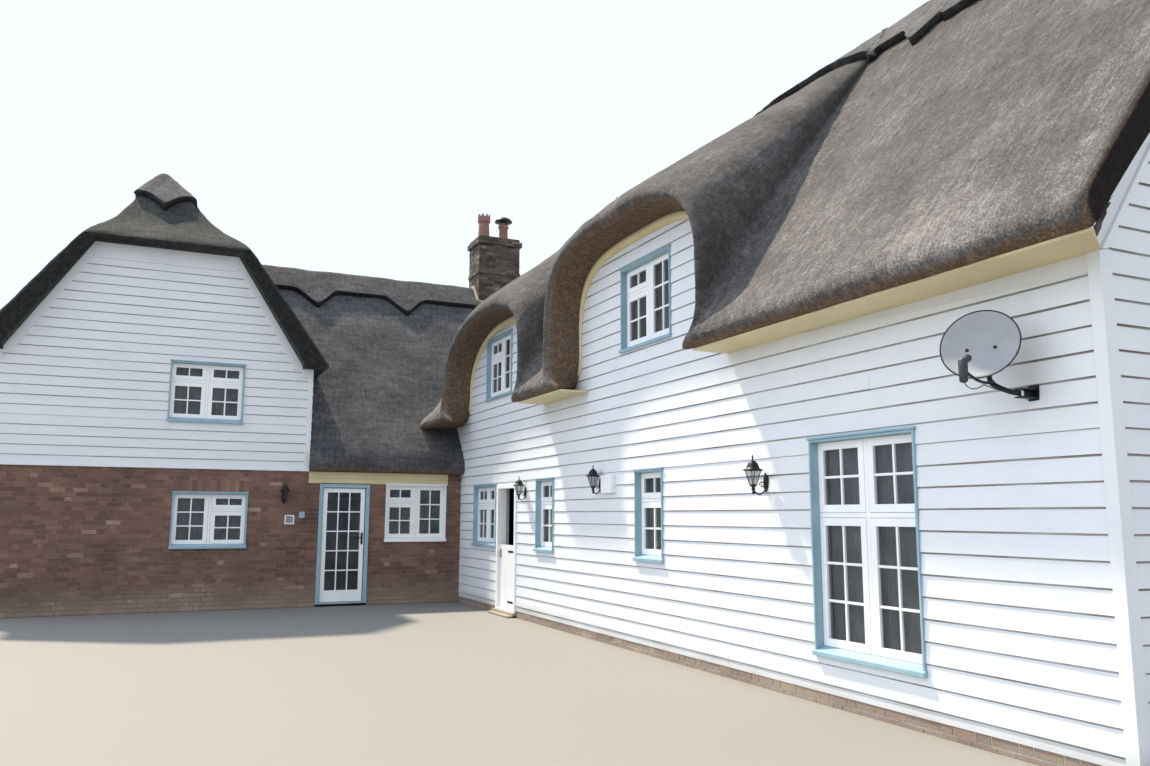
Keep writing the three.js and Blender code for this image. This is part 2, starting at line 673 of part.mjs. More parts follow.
function doorFrame(plane, at, side, hole) {
  const [u0, u1, v0, v1] = hole;
  const outside = at + side * frameProud;
  const inside = at - side * frameDepth;
  return prism(plane, rectangle(u0 + gap, u1 - gap, v0 + gap, v1 - gap),
    Math.min(outside, inside), Math.max(outside, inside),
    [[u0 + frameBar, u1 - frameBar, v0 + doorSill, v1 - frameBar]]);
}

// Knuckles round a pin at [x, y]: from each height up one belongs to the leaf, and the one below
// it to the frame. leafSide and frameSide are the ways from the pin to what each is fixed to.
const knuckleRadius = 5;
const knuckleLength = 45;
const webHalf = 4;
function knuckles([x, y], heights, [sideX, sideY], upper) {
  const reach = pinSet + 2;
  const reachX = x + sideX * reach;
  const reachY = y + sideY * reach;
  const solids = heights.map((height) => {
    const low = upper ? height : height - knuckleLength - gap;
    const web = box(
      Math.min(x - webHalf, reachX), Math.max(x + webHalf, reachX),
      Math.min(y - webHalf, reachY), Math.max(y + webHalf, reachY), low, low + knuckleLength,
    );
    return rod([x, y, low], [x, y, low + knuckleLength], knuckleRadius, pinSides).add(web);
  });
  return union(solids);
}

const stableLeaf = {
  low: stableDoor[0] + frameBar + hingeGap,
  high: stableDoor[1] - frameBar - latchGap,
  bottom: stableDoor[2] + doorSill + hingeGap,
  top: stableDoor[3] - frameBar - hingeGap,
};
const leafOuterX = courtX + leafSet;
const leafInnerX = leafOuterX + leafThickness;
const stablePin = [leafInnerX + pinSet, stableLeaf.low];
const lowerHinges = [300, 900];
const upperHinges = [1320, 1850];

add('stable_door_frame', union([
  doorFrame('yz', courtX, -1, stableDoor),
  knuckles(stablePin, [...lowerHinges, ...upperHinges], [0, -1], false),
]), joinery);
add('stable_door_lower_leaf', union([
  box(leafOuterX, leafInnerX, stableLeaf.low, stableLeaf.high, stableLeaf.bottom, stableSplitZ - leafMeet),
  knuckles(stablePin, lowerHinges, [-1, 0], true),
]), white);

// The upper leaf stands open at right angles inside, on the same line of pins
const openY = stablePin[1] + pinSet;
add('stable_door_upper_leaf', union([
  box(stablePin[0], stablePin[0] + stableLeaf.high - stableLeaf.low, openY, openY + leafThickness,
    stableSplitZ + leafMeet, stableLeaf.top),
  knuckles(stablePin, upperHinges, [0, 1], true),
]), white);

const gardenLeaf = {
  low: gardenDoor[0] + frameBar + hingeGap,
  high: gardenDoor[1] - frameBar - latchGap,
  bottom: gardenDoor[2] + doorSill + hingeGap,
  top: gardenDoor[3] - frameBar - hingeGap,
};
const gardenOuterY = backFrontY + leafSet;
const gardenInnerY = gardenOuterY + leafThickness;
const gardenPin = [gardenLeaf.low, gardenInnerY + pinSet];
const gardenHinges = [300, 1050, 1800];
const glassBottomZ = gardenLeaf.bottom + 200;
const stile = 75;
const glassIn = 15;
const glassSet = 18;

add('garden_door_frame', union([
  doorFrame('xz', backFrontY, -1, gardenDoor),
  knuckles(gardenPin, gardenHinges, [-1, 0], false),
]), joinery);
add('garden_door_leaf', union([
  prism('xz', rectangle(gardenLeaf.low, gardenLeaf.high, gardenLeaf.bottom, gardenLeaf.top),
    gardenOuterY, gardenInnerY,
    [[gardenLeaf.low + stile, gardenLeaf.high - stile, glassBottomZ, gardenLeaf.top - stile]]),
  box(gardenLeaf.low + stile - glassIn, gardenLeaf.high - stile + glassIn, gardenOuterY + glassSet,
    gardenOuterY + glassSet + paneThickness, glassBottomZ - glassIn, gardenLeaf.top - stile + glassIn),
  knuckles(gardenPin, gardenHinges, [0, -1], true),
]), joinery);

// Soffit boards under the level eaves of the right wing, on both long sides

const soffitThickness = 20;
const soffitOut = eaveOut - 70;
const soffitEnd = toe - 60;
const soffitRuns = {
  near: [nearVergeY + boardClear, dormers[0].centre - dormers[0].half + soffitEnd],
  middle: [dormers[0].centre + dormers[0].half - soffitEnd, dormers[1].centre - dormers[1].half + soffitEnd],
};
const soffitZ = [wingPlateZ - gap - soffitThickness, wingPlateZ - gap];
for (const [name, run] of Object.entries(soffitRuns)) {
  add(`${name}_soffit`, box(courtX - soffitOut, courtX - gap, ...run, ...soffitZ), cream);
  add(`garden_side_${name}_soffit`, box(outerX + gap, outerX + soffitOut, ...run, ...soffitZ), cream);
}

// Chimney: a stack with two courses standing proud, and two pots

const bandProud = 45;
const topBandZ = [7980, 8090];
const lowBandZ = [7250, 7330];
const grow = ([low, high], by) => [low - by, high + by];
const stack = union([
  box(...stackX, ...stackY, groundFloorZ + gap, stackTopZ),
  box(...grow(stackX, bandProud), ...grow(stackY, bandProud), ...topBandZ),
  box(...grow(stackX, bandProud / 2), ...grow(stackY, bandProud / 2), ...lowBandZ),
]);
add('chimney_stack', stack, soot);

const potY = middle(stackY);
const crownPotX = 2300;
const cowlPotX = 2800;
const potSides = 20;
const placed = (x, y, z) => new THREE.Matrix4().makeTranslation(x, y, z);
const crownPot = [[90, 0], [150, 0], [135, 120], [120, 420], [150, 450], [150, 620], [95, 620], [90, 0]];
add('crown_chimney_pot', turned(crownPot, potSides, placed(crownPotX, potY, stackTopZ + gap)), terracotta);
const cowlPot = [
  [0, 0], [120, 0], [105, 330], [130, 360], [130, 420], [70, 430], [70, 500], [215, 505], [200, 545],
  [90, 620], [0, 640],
];
add('cowl_chimney_pot', turned(cowlPot, potSides, placed(cowlPotX, potY, stackTopZ + gap)), terracotta);

// Wall lanterns: a plate and an arm on the wall carry a six-sided lantern

const lanternProfile = [
  [0, 0], [24, 30], [60, 55], [92, 235], [100, 240], [62, 285], [30, 300], [26, 330], [0, 345],
];
const lanternReach = 150;
const lanternHang = 170;
const armRise = -110;
const armRadius = 11;
const plateOut = 18;
const plateHalf = 35;
const plateZ = [-150, 50];

// [ux, uy] points out from the wall at [x, y], and z is the lantern's middle
function lantern(x, y, z, ux, uy) {
  const body = turned(lanternProfile, 6, placed(x + ux * lanternReach, y + uy * lanternReach, z - lanternHang));
  const root = [x + ux * (plateOut / 2), y + uy * (plateOut / 2), z + armRise];
  const arm = rod(root, [x + ux * lanternReach, y + uy * lanternReach, z + armRise], armRadius);
  const across = [Math.abs(uy) * plateHalf, Math.abs(ux) * plateHalf];
  const spanX = [x + ux * gap, x + ux * plateOut].sort((a, b) => a - b);
  const spanY = [y + uy * gap, y + uy * plateOut].sort((a, b) => a - b);
  const plate = box(spanX[0] - across[0], spanX[1] + across[0], spanY[0] - across[1], spanY[1] + across[1],
    z + plateZ[0], z + plateZ[1]);
  return union([body, arm, plate]);
}
add('near_lantern', lantern(courtX, -6450, 1980, -1, 0), ironwork);
add('middle_lantern', lantern(courtX, -2830, 2060, -1, 0), ironwork);
add('door_lantern', lantern(courtX, -130, 2015, -1, 0), ironwork);
add('cross_wing_lantern', lantern(-2460, backFrontY, 1960, 0, -1), ironwork);

// Satellite dish: an oval bowl on a cranked pipe that a wall bracket holds, and a receiver on an arm

const dishCentre = new THREE.Vector3(500, -9330, 2760);
const dishFacing = new THREE.Vector3(-0.925, -0.337, 0.174).normalize();
const dishHalfWidth = 270;
const dishHalfHeight = 240;
const dishDepth = 50;
const dishSkin = 8;
const dishRings = 5;
const dishSides = 28;
const hubReach = 60;
const hubRadius = 26;
const dishPipeRadius = 18;
const receiverArmRadius = 12;
const pipeFoot = [590, -9330, 2500];
const pipeClamp = [665, -9475, 2430];
const armEnd = [184, -9445, 2565];
const receiverAbove = 70;
const receiverBelow = 90;
const receiverRadius = 30;
const hornHeight = 45;
const hornLength = 95;
const hornRadius = 26;
const bracketX = [645, courtX - 21];
const bracketY = [-9508, -9442];
const bracketZ = [2396, 2464];
const dishPlateX = [courtX - 22, courtX - gap];
const dishPlateY = [-9520, -9430];
const dishPlateZ = [2370, 2490];

function dish() {
  const radii = Array.from({ length: dishRings + 1 }, (_, i) => i / dishRings);
  const front = radii.map((share) => [dishHalfWidth * share, dishDepth * share ** 2]);
  const back = front.map(([r, h]) => [r, h - dishSkin]);
  const level = new THREE.Vector3(0, 0, 1).cross(dishFacing).normalize();
  const upright = dishFacing.clone().cross(level);
  const place = new THREE.Matrix4()
    .makeBasis(level, upright.multiplyScalar(dishHalfHeight / dishHalfWidth), dishFacing)
    .setPosition(dishCentre);
  const hub = dishCentre.clone().addScaledVector(dishFacing, -hubReach).toArray();
  const [armX, armY, armZ] = armEnd;
  const horn = new THREE.Vector3(armX, armY, armZ + hornHeight);
  const towardsBowl = dishCentre.clone().sub(horn).normalize();
  return union([
    turned([...back, ...front.reverse()], dishSides, place),
    rod(hub, dishCentre.toArray(), hubRadius),
    rod(hub, pipeFoot, dishPipeRadius),
    rod(pipeFoot, pipeClamp, dishPipeRadius),
    box(...bracketX, ...bracketY, ...bracketZ),
    box(...dishPlateX, ...dishPlateY, ...dishPlateZ),
    rod(pipeFoot, armEnd, receiverArmRadius),
    rod([armX, armY, armZ - receiverBelow], [armX, armY, armZ + receiverAbove], receiverRadius),
    rod(horn.toArray(), horn.clone().addScaledVector(towardsBowl, hornLength).toArray(), hornRadius),
  ]);
}
add('satellite_dish', dish(), greyMetal);

export default cottage;
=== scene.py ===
"""Thatched cottage in an L plan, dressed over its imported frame.

A long white boarded wing with two swept dormers runs along Y, a low brick range closes the end of
the courtyard, and a gabled cross wing stands beyond it. Everything is in metres, with +Z up.
"""

import itertools
import json
import logging
import math
from dataclasses import dataclass, field
from enum import Enum

import bmesh
import bpy
import numpy as np
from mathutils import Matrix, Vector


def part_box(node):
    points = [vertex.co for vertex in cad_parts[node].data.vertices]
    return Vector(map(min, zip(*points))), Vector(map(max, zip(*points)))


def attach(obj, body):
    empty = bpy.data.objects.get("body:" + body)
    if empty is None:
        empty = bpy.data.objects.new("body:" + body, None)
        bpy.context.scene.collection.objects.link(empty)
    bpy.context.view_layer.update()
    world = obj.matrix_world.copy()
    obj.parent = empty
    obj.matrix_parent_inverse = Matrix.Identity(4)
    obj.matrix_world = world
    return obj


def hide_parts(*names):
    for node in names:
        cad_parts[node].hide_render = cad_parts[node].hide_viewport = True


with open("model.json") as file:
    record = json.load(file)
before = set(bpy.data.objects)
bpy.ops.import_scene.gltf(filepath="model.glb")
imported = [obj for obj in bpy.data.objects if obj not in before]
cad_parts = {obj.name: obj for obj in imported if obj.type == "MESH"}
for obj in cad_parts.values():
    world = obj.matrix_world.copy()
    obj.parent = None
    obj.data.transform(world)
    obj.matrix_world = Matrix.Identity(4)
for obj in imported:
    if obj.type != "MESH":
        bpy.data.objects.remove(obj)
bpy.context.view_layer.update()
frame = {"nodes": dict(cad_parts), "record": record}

log = logging.getLogger("cottage")
logging.basicConfig(level=logging.INFO, format="%(message)s")

Array = np.ndarray


class Body(Enum):
    """What a piece moves with."""

    HOUSE = "cottage"
    STABLE_LEAF = "stable_leaf"
    GARDEN_LEAF = "garden_leaf"


# Places of the walls' outer faces and of the ridges, and heights that several pieces share

COURT_X = 0.8
GARDEN_X = 6.86
NEAR_Y = -10.01
WING_FAR_Y = 4.8
FRONT_Y = 3.24
REAR_Y = 10.06
CROSS_LEFT_X = -7.1
CROSS_RIGHT_X = -2.05
WING_RIDGE_X = 3.83
CROSS_RIDGE_X = -4.575
RANGE_RIDGE_Y = 6.65
WING_BOARD_FOOT = 0.105
CROSS_BOARD_FOOT = 2.39
ROOF_BOARD_FOOT = 2.62
LIP_Z = 6.156


# Shader nodes


def srgb(code: str) -> tuple[float, ...]:
    """Turns an sRGB hex colour into linear RGBA.

    Args:
        code: the colour as #rrggbb.

    Returns:
        Red, green, blue and an alpha of one.
    """
    values = np.array([int(code[i:i + 2], 16) for i in (1, 3, 5)]) / 255
    linear = np.where(values <= 0.04045, values / 12.92, ((values + 0.055) / 1.055) ** 2.4)
    return (*linear.tolist(), 1.0)


def add_node(tree, kind: str, sockets: dict | None = None, stops: list | None = None, **settings):
    """Adds one shader node with its settings and links.

    Args:
        tree: the material's node tree.
        kind: the node's type without its ShaderNode prefix.
        sockets: inputs by name or number, each a value or the output that feeds it.
        stops: positions and hex colours of a colour ramp.
        settings: the node's own properties.

    Returns:
        The new node.
    """
    node = tree.nodes.new(f"ShaderNode{kind}")
    for name, value in settings.items():
        setattr(node, name, value)
    for key, value in (sockets or {}).items():
        if isinstance(value, bpy.types.NodeSocket):
            tree.links.new(value, node.inputs[key])
        else:
            node.inputs[key].default_value = value
    if stops:
        elements = node.color_ramp.elements
        while len(elements) < len(stops):
            elements.new(0.5)
        for element, (position, code) in zip(elements, stops):
            element.position = position
            element.color = srgb(code)
    return node


def new_material(name: str, **values) -> tuple:
    """Starts a material.

    Args:
        name: the finish's plain name.
        values: the shader's inputs that are the same all over, with underscores for spaces.

    Returns:
        The material, its tree and its Principled shader.
    """
    material = bpy.data.materials.new(name)
    material.use_nodes = True
    tree = material.node_tree
    shader = tree.nodes["Principled BSDF"]
    for key, value in values.items():
        shader.inputs[key.replace("_", " ")].default_value = value
    return material, tree, shader


@dataclass(frozen=True)
class Mottled:
    """A painted, fired, cast or laid surface with broad patches, a fine grain and a low relief.

    The shade is patch noise and grain noise added to the piece's own tone, read through a ramp.
    The grime colour, where set, is mixed into faces that the grime attribute marks, in uneven patches: dirt,
    and on the weatherboards also painted shade along the laps.
    splash is the height in metres that rain throws soil up to.
    """

    name: str
    slot: str
    shades: tuple[str, ...]
    patch: float = 0.5
    grain: float = 0.012
    stretch: tuple[float, float, float] = (1.0, 1.0, 1.0)
    relief: float = 0.0006
    roughness: float = 0.5
    metallic: float = 0.0
    tone: float = 0.0
    patch_share: float = 0.7
    grain_share: float = 0.35
    grime_and_shade: str = ""
    splash: float = 0.0

    def make(self):
        """Builds the material."""
        material, tree, shader = new_material(
            self.name, Roughness=self.roughness, Metallic=self.metallic)
        coordinates = add_node(tree, "TexCoord").outputs["Object"]
        placed = add_node(tree, "Mapping", {"Vector": coordinates, "Scale": self.stretch}).outputs[0]
        patch = add_node(tree, "TexNoise", {
            "Vector": coordinates, "Scale": 1 / self.patch, "Detail": 4.0}).outputs[0]
        grain = add_node(tree, "TexNoise", {
            "Vector": placed, "Scale": 1 / self.grain, "Detail": 2.0}).outputs[0]
        patches = add_node(tree, "Math", {
            0: patch, 1: self.patch_share, 2: 0.5 - self.patch_share / 2 - self.grain_share / 2},
            operation="MULTIPLY_ADD").outputs[0]
        both = add_node(tree, "Math", {0: grain, 1: self.grain_share, 2: patches},
                        operation="MULTIPLY_ADD").outputs[0]
        if self.tone:
            own = add_node(tree, "Attribute", attribute_name="tone").outputs["Fac"]
            centred = add_node(tree, "Math", {0: own, 1: -0.5}, operation="ADD").outputs[0]
            both = add_node(tree, "Math", {0: centred, 1: self.tone, 2: both},
                            operation="MULTIPLY_ADD").outputs[0]
        last = len(self.shades) - 1
        stops = [(0.15 + 0.7 * i / last, code) for i, code in enumerate(self.shades)]
        colour = add_node(tree, "ValToRGB", {0: both}, stops).outputs[0]
        if self.grime_and_shade:
            # grime marks: dirt, and painted shade under the weatherboards' laps
            grime_and_shade_marks = add_node(tree, "Attribute", attribute_name="grime_and_shade").outputs["Fac"]
            uneven = add_node(tree, "Math", {0: patch, 1: 1.5}, operation="MULTIPLY").outputs[0]
            share = add_node(tree, "Math", {0: grime_and_shade_marks, 1: uneven}, operation="MULTIPLY",
                             use_clamp=True).outputs[0]
            colour = add_node(tree, "Mix", {0: share, 6: colour, 7: srgb(self.grime_and_shade)},
                              data_type="RGBA").outputs[2]
            if self.splash:
                height = add_node(tree, "SeparateXYZ", {0: coordinates}).outputs[2]
                low = add_node(tree, "MapRange", {
                    "Value": height, "From Min": 0.02, "From Max": self.splash,
                    "To Min": 0.75, "To Max": 0.0}).outputs[0]
                soiled = add_node(tree, "Math", {0: low, 1: uneven}, operation="MULTIPLY",
                                  use_clamp=True).outputs[0]
                colour = add_node(tree, "Mix", {0: soiled, 6: colour, 7: srgb(self.grime_and_shade)},
                                  data_type="RGBA").outputs[2]
        tree.links.new(colour, shader.inputs["Base Color"])
        bump = add_node(tree, "Bump", {"Height": grain, "Distance": self.relief, "Strength": 1.0})
        tree.links.new(bump.outputs[0], shader.inputs["Normal"])
        return material


@dataclass(frozen=True)
class Reed:
    """Water reed laid as thatch, weathered grey on top and cut across at its edges.

    Reed ends of 7 mm are drawn as specks two or three times as wide so that they show, streaks
    follow the stems down the slope, ripples run along the courses, and patches show where water
    stays. The cut attribute turns the surface to brown ends, and past 1 multiplies in the verge
    colour: painted shade on cut faces such as verges and the caps' edges.
    fade is how much darker the reed is at high metres than at low metres.
    """

    name: str
    slot: str
    dark: str
    middle: str
    light: str
    ends_dark: str = "#5b4c40"
    ends_light: str = "#8f7763"
    # colour multiplied in past a cut of 1: painted shade on verges and cap edges
    verge: str = "#9fa0a4"
    speck: float = 0.016
    relief: float = 0.013
    course: float = 0.12
    contrast: float = 0.9
    fade: float = 0.0
    low: float = 3.6
    high: float = 6.4

    def make(self):
        """Builds the material."""
        material, tree, shader = new_material(self.name, Roughness=0.95, Specular_IOR_Level=0.2)
        coordinates = add_node(tree, "TexCoord").outputs["Object"]
        along = add_node(tree, "UVMap", uv_map="reed").outputs[0]
        stems = add_node(tree, "Mapping", {"Vector": along, "Scale": (36.0, 2.6, 1.0)}).outputs[0]
        short = add_node(tree, "Mapping", {
            "Vector": along, "Scale": (1 / self.speck, 0.75 / self.speck, 1.0)}).outputs[0]
        patch = add_node(tree, "TexNoise", {
            "Vector": coordinates, "Scale": 1.3, "Detail": 5.0, "Roughness": 0.6}).outputs[0]
        clump = add_node(tree, "TexNoise", {
            "Vector": coordinates, "Scale": 14.0, "Detail": 3.0}).outputs[0]
        streak = add_node(tree, "TexNoise", {"Vector": stems, "Scale": 1.0, "Detail": 3.0}).outputs[0]
        speck = add_node(tree, "TexNoise", {
            "Vector": short, "Scale": 1.0, "Detail": 2.0, "Roughness": 0.7}).outputs[0]
        broad = add_node(tree, "Math", {0: patch, 1: 0.55, 2: -0.62}, operation="MULTIPLY_ADD").outputs[0]
        with_clump = add_node(tree, "Math", {0: clump, 1: 0.4, 2: broad},
                              operation="MULTIPLY_ADD").outputs[0]
        with_streak = add_node(tree, "Math", {0: streak, 1: 0.4, 2: with_clump},
                               operation="MULTIPLY_ADD").outputs[0]
        ripple = add_node(tree, "Mapping", {"Vector": along, "Scale": (2.2, 9.0, 1.0)}).outputs[0]
        course = add_node(tree, "TexNoise", {"Vector": ripple, "Scale": 1.0, "Detail": 2.0}).outputs[0]
        with_course = add_node(tree, "Math", {0: course, 1: self.course, 2: with_streak},
                               operation="MULTIPLY_ADD").outputs[0]
        speckled = add_node(tree, "Math", {0: speck, 1: self.contrast, 2: with_course},
                            operation="MULTIPLY_ADD").outputs[0]
        height = add_node(tree, "SeparateXYZ", {0: coordinates}).outputs[2]
        loss = add_node(tree, "MapRange", {
            "Value": height, "From Min": self.low, "From Max": self.high,
            "To Min": self.contrast / 2 + self.course / 2 - 0.45,
            "To Max": self.contrast / 2 + self.course / 2 - 0.45 + self.fade}).outputs[0]
        shade = add_node(tree, "Math", {0: speckled, 1: loss}, operation="SUBTRACT").outputs[0]
        top = add_node(tree, "ValToRGB", {0: shade}, [
            (0.22, self.dark), (0.5, self.middle), (0.8, self.light)]).outputs[0]
        dots = add_node(tree, "TexVoronoi", {"Vector": coordinates, "Scale": 1 / self.speck}).outputs[0]
        end_shade = add_node(tree, "Math", {0: dots, 1: -0.9, 2: clump},
                             operation="MULTIPLY_ADD").outputs[0]
        ends = add_node(tree, "ValToRGB", {0: end_shade}, [
            (0.0, self.ends_dark), (0.5, self.ends_light)]).outputs[0]
        cut = add_node(tree, "Attribute", attribute_name="cut").outputs["Fac"]
        laid = add_node(tree, "Mix", {0: cut, 6: top, 7: ends}, data_type="RGBA").outputs[2]
        # Past a cut of 1 the verge colour is multiplied in: painted shade on verges and cap edges
        verge_shade = add_node(tree, "Math", {0: cut, 1: -1.0}, operation="ADD").outputs[0]
        colour = add_node(tree, "Mix", {0: verge_shade, 6: laid, 7: srgb(self.verge)}, data_type="RGBA",
                          blend_type="MULTIPLY").outputs[2]
        tree.links.new(colour, shader.inputs["Base Color"])
        rough = add_node(tree, "Math", {0: streak, 1: 0.35, 2: speck}, operation="MULTIPLY_ADD").outputs[0]
        bump = add_node(tree, "Bump", {"Height": rough, "Distance": self.relief, "Strength": 0.9})
        tree.links.new(bump.outputs[0], shader.inputs["Normal"])
        return material


@dataclass(frozen=True)
class Pane:
    """Float glass over a dim room, glossy and half clear; its dark colour is painted shade of the room
    behind.
    """

    name: str = "float_glass"
    slot: str = "window_joinery"
    # painted shade of the dim room seen through the glass
    room_shade: str = "#30353b"
    clear: float = 0.4

    def make(self):
        """Builds the material."""
        material, tree, shader = new_material(self.name, Roughness=0.04, Alpha=self.clear, IOR=1.5)
        coordinates = add_node(tree, "TexCoord").outputs["Object"]
        wave = add_node(tree, "TexNoise", {"Vector": coordinates, "Scale": 4.0}).outputs[0]
        colour = add_node(tree, "ValToRGB", {0: wave}, [(0.3, self.room_shade), (0.7, "#434a51")]).outputs[0]
        tree.links.new(colour, shader.inputs["Base Color"])
        bump = add_node(tree, "Bump", {"Height": wave, "Distance": 0.0015, "Strength": 1.0})
        tree.links.new(bump.outputs[0], shader.inputs["Normal"])
        return material


@dataclass(frozen=True)
class Net:
    """Cotton net curtain in a plain weave, off-white and a little see-through.

    A thread spacing of 0.4 mm is too fine to show, so the weave is drawn as 3 mm ribs.
    """

    name: str = "cotton_net_curtain"
    slot: str = "window_joinery"

    def make(self):
        """Builds the material."""
        material, tree, shader = new_material(self.name, Roughness=0.9)
        coordinates = add_node(tree, "TexCoord").outputs["Object"]
        weave = add_node(tree, "TexWave", {
            "Vector": coordinates, "Scale": 60.0, "Distortion": 1.0}, bands_direction="Z").outputs[1]
        patch = add_node(tree, "TexNoise", {"Vector": coordinates, "Scale": 5.0}).outputs[0]
        both = add_node(tree, "Math", {0: weave, 1: 0.25, 2: patch}, operation="MULTIPLY_ADD").outputs[0]
        colour = add_node(tree, "ValToRGB", {0: both}, [
            (0.35, "#8f8e8c"), (0.8, "#c9c7c2")]).outputs[0]
        tree.links.new(colour, shader.inputs["Base Color"])
        return material


# Finishes of this cottage

# Its grime colour paints dirt and shade along the board laps, and soil splash at the foot
WHITE_BOARD_PAINT = Mottled(
    "white_oil_paint_on_weatherboard", "white_boards", ("#d3d8dc", "#dde1e4", "#e5e7e8"),
    patch=0.6, grain=0.02, stretch=(0.12, 0.12, 1.0), relief=0.0008, roughness=0.5, tone=0.012,
    grime_and_shade="#7b7669", splash=0.28)
WHITE_TRIM = Mottled(
    "white_gloss_joinery_paint", "window_joinery", ("#e4e8ea", "#f2f4f4", "#fafaf8"),
    patch=0.3, grain=0.01, relief=0.0003, roughness=0.3, grime_and_shade="#a9a493")
PALE_BLUE = Mottled(
    "pale_blue_gloss_joinery_paint", "window_joinery", ("#7d9dac", "#8dacb9", "#a4bfca"),
    patch=0.25, grain=0.01, relief=0.0003, roughness=0.35)
CREAM = Mottled(
    "cream_masonry_paint", "cream_trim", ("#c2b78c", "#d2c69b", "#dfd5b0"),
    patch=0.5, grain=0.015, relief=0.0006, roughness=0.6)
BRICK = Mottled(
    "hand_made_red_stock_brick", "brickwork",
    ("#43342e", "#5d473e", "#73564b", "#846558", "#a89182"),
    patch=0.9, grain=0.016, relief=0.003, roughness=0.9, tone=0.3, patch_share=0.5,
    grain_share=0.4, grime_and_shade="#a39684", splash=0.5)
LIME_MORTAR = Mottled(
    "lime_mortar", "brickwork", ("#5b5147", "#7d6f60", "#978a78"),
    patch=0.3, grain=0.006, relief=0.002, roughness=0.95)
SOOT_BRICK = Mottled(
    "sooty_stock_brick", "sooty_brick", ("#322d2a", "#48413c", "#5e554e", "#857a6e"),
    patch=0.35, grain=0.014, relief=0.003, roughness=0.95, tone=0.5, patch_share=0.5,
    grain_share=0.4)
SOOT_MORTAR = Mottled(
    "weathered_chimney_mortar", "sooty_brick", ("#443d36", "#5e544a", "#7a6e60"),
    patch=0.2, grain=0.006, relief=0.002, roughness=0.95)
CLAY = Mottled(
    "fired_terracotta", "terracotta", ("#6f5048", "#8b675d", "#a37a70"),
    patch=0.12, grain=0.006, relief=0.0008, roughness=0.85)
IRON = Mottled(
    "black_painted_iron", "black_iron", ("#121316", "#1c1e22", "#2a2d32"),
    patch=0.05, grain=0.003, relief=0.0004, roughness=0.45, metallic=0.4)
DISH_METAL = Mottled(
    "grey_powder_coated_steel", "grey_metal", ("#929599", "#9da0a4", "#a7a9ad"),
    patch=0.15, grain=0.002, relief=0.0001, roughness=0.7)
RECEIVER_PLASTIC = Mottled(
    "weathered_dark_abs", "grey_metal", ("#25272b", "#313439", "#3f4348"),
    patch=0.06, grain=0.002, relief=0.0002, roughness=0.5)
FLAGSTONE = Mottled(
    "worn_flagstone", "floor_stone", ("#7d7567", "#988f80", "#b0a797"),
    patch=0.7, grain=0.01, relief=0.002, roughness=0.8)
FLOOR_BOARD = Mottled(
    "waxed_pine_floor_board", "floor_timber", ("#5f4a34", "#7c6244", "#95795a"),
    patch=0.5, grain=0.012, stretch=(1.0, 0.06, 1.0), relief=0.0008, roughness=0.6)
FILLET = Mottled(
    "pale_mortar_fillet", "sooty_brick", ("#7d766b", "#a0937d", "#c0ae94"),
    patch=0.15, grain=0.008, relief=0.003, roughness=0.95)
# Its dark verge colour is painted shade on the verge bands
WING_REED = Reed("weathered_water_reed", "thatch", "#363433", "#585654", "#8b8886", verge="#505256",
                 speck=0.018, contrast=0.85, fade=0.1)
BACK_REED = Reed("damp_weathered_water_reed", "thatch", "#2e2e30", "#4d4d4f", "#747271", course=0.35)
# Its dark grey ends colour its cut faces; on the verge bands that darkness is partly painted shade
CROSS_REED = Reed("oldest_damp_water_reed", "thatch", "#202021", "#393939", "#585755", "#3b3b38",
                  "#6b6a63", course=0.35)
# Its dark grey ends and verge colour darken the saddle's cut edge: painted shade under the saddle, with the
# sedge's own tone
CAP_REED = Reed("sedge_ridge", "thatch", "#2f3031", "#505051", "#787673", "#343537", "#545453", "#c8c8c8",
                course=0.2)

PANE = Pane()
NET = Net()


class Palette:
    """Makes each finish's material once and hands it out again."""

    def __init__(self) -> None:
        """Starts with no material made."""
        self.made: dict = {}

    def get(self, finish):
        """Returns the material of a finish, made on its first use."""
        if finish not in self.made:
            self.made[finish] = finish.make()
        return self.made[finish]


PALETTE = Palette()


# Surfaces


LATTICE_PRIMES = np.array([73856093, 19349663, 83492791])
SEED_PRIME = 40503
MIX_PRIME = 1274126177


def lattice_noise(points: Array, size: float, seed: int) -> Array:
    """Smooth random values.

    Each corner of a cubic lattice draws a value from a hash of its whole-number place, and a point
    blends the eight corners round it with smoothstep weights.

    Args:
        points: (n, 3) places in metres.
        size: the lattice's spacing in metres.
        seed: picks another draw.

    Returns:
        (n,) values from -1 to 1.
    """
    scaled = points / size
    cell = np.floor(scaled).astype(np.int64)
    part = scaled - cell
    part = part * part * (3 - 2 * part)
    total = np.zeros(len(points))
    for corner in itertools.product((0, 1), repeat=3):
        key = np.bitwise_xor.reduce((cell + np.array(corner)) * LATTICE_PRIMES, axis=1) ^ seed * SEED_PRIME
        key = (key ^ (key >> 13)) * MIX_PRIME & 0xFFFFFFFF
        value = ((key ^ (key >> 16)) & 0xFFFF) / 32767.5 - 1
        weight = np.prod(np.where(corner, part, 1 - part), axis=1)
        total += value * weight
    return total


def draws(count: int, seed: int) -> Array:
    """Returns count values from 0 to 1 that are the same on each run."""
    return np.random.default_rng(seed).random(count)


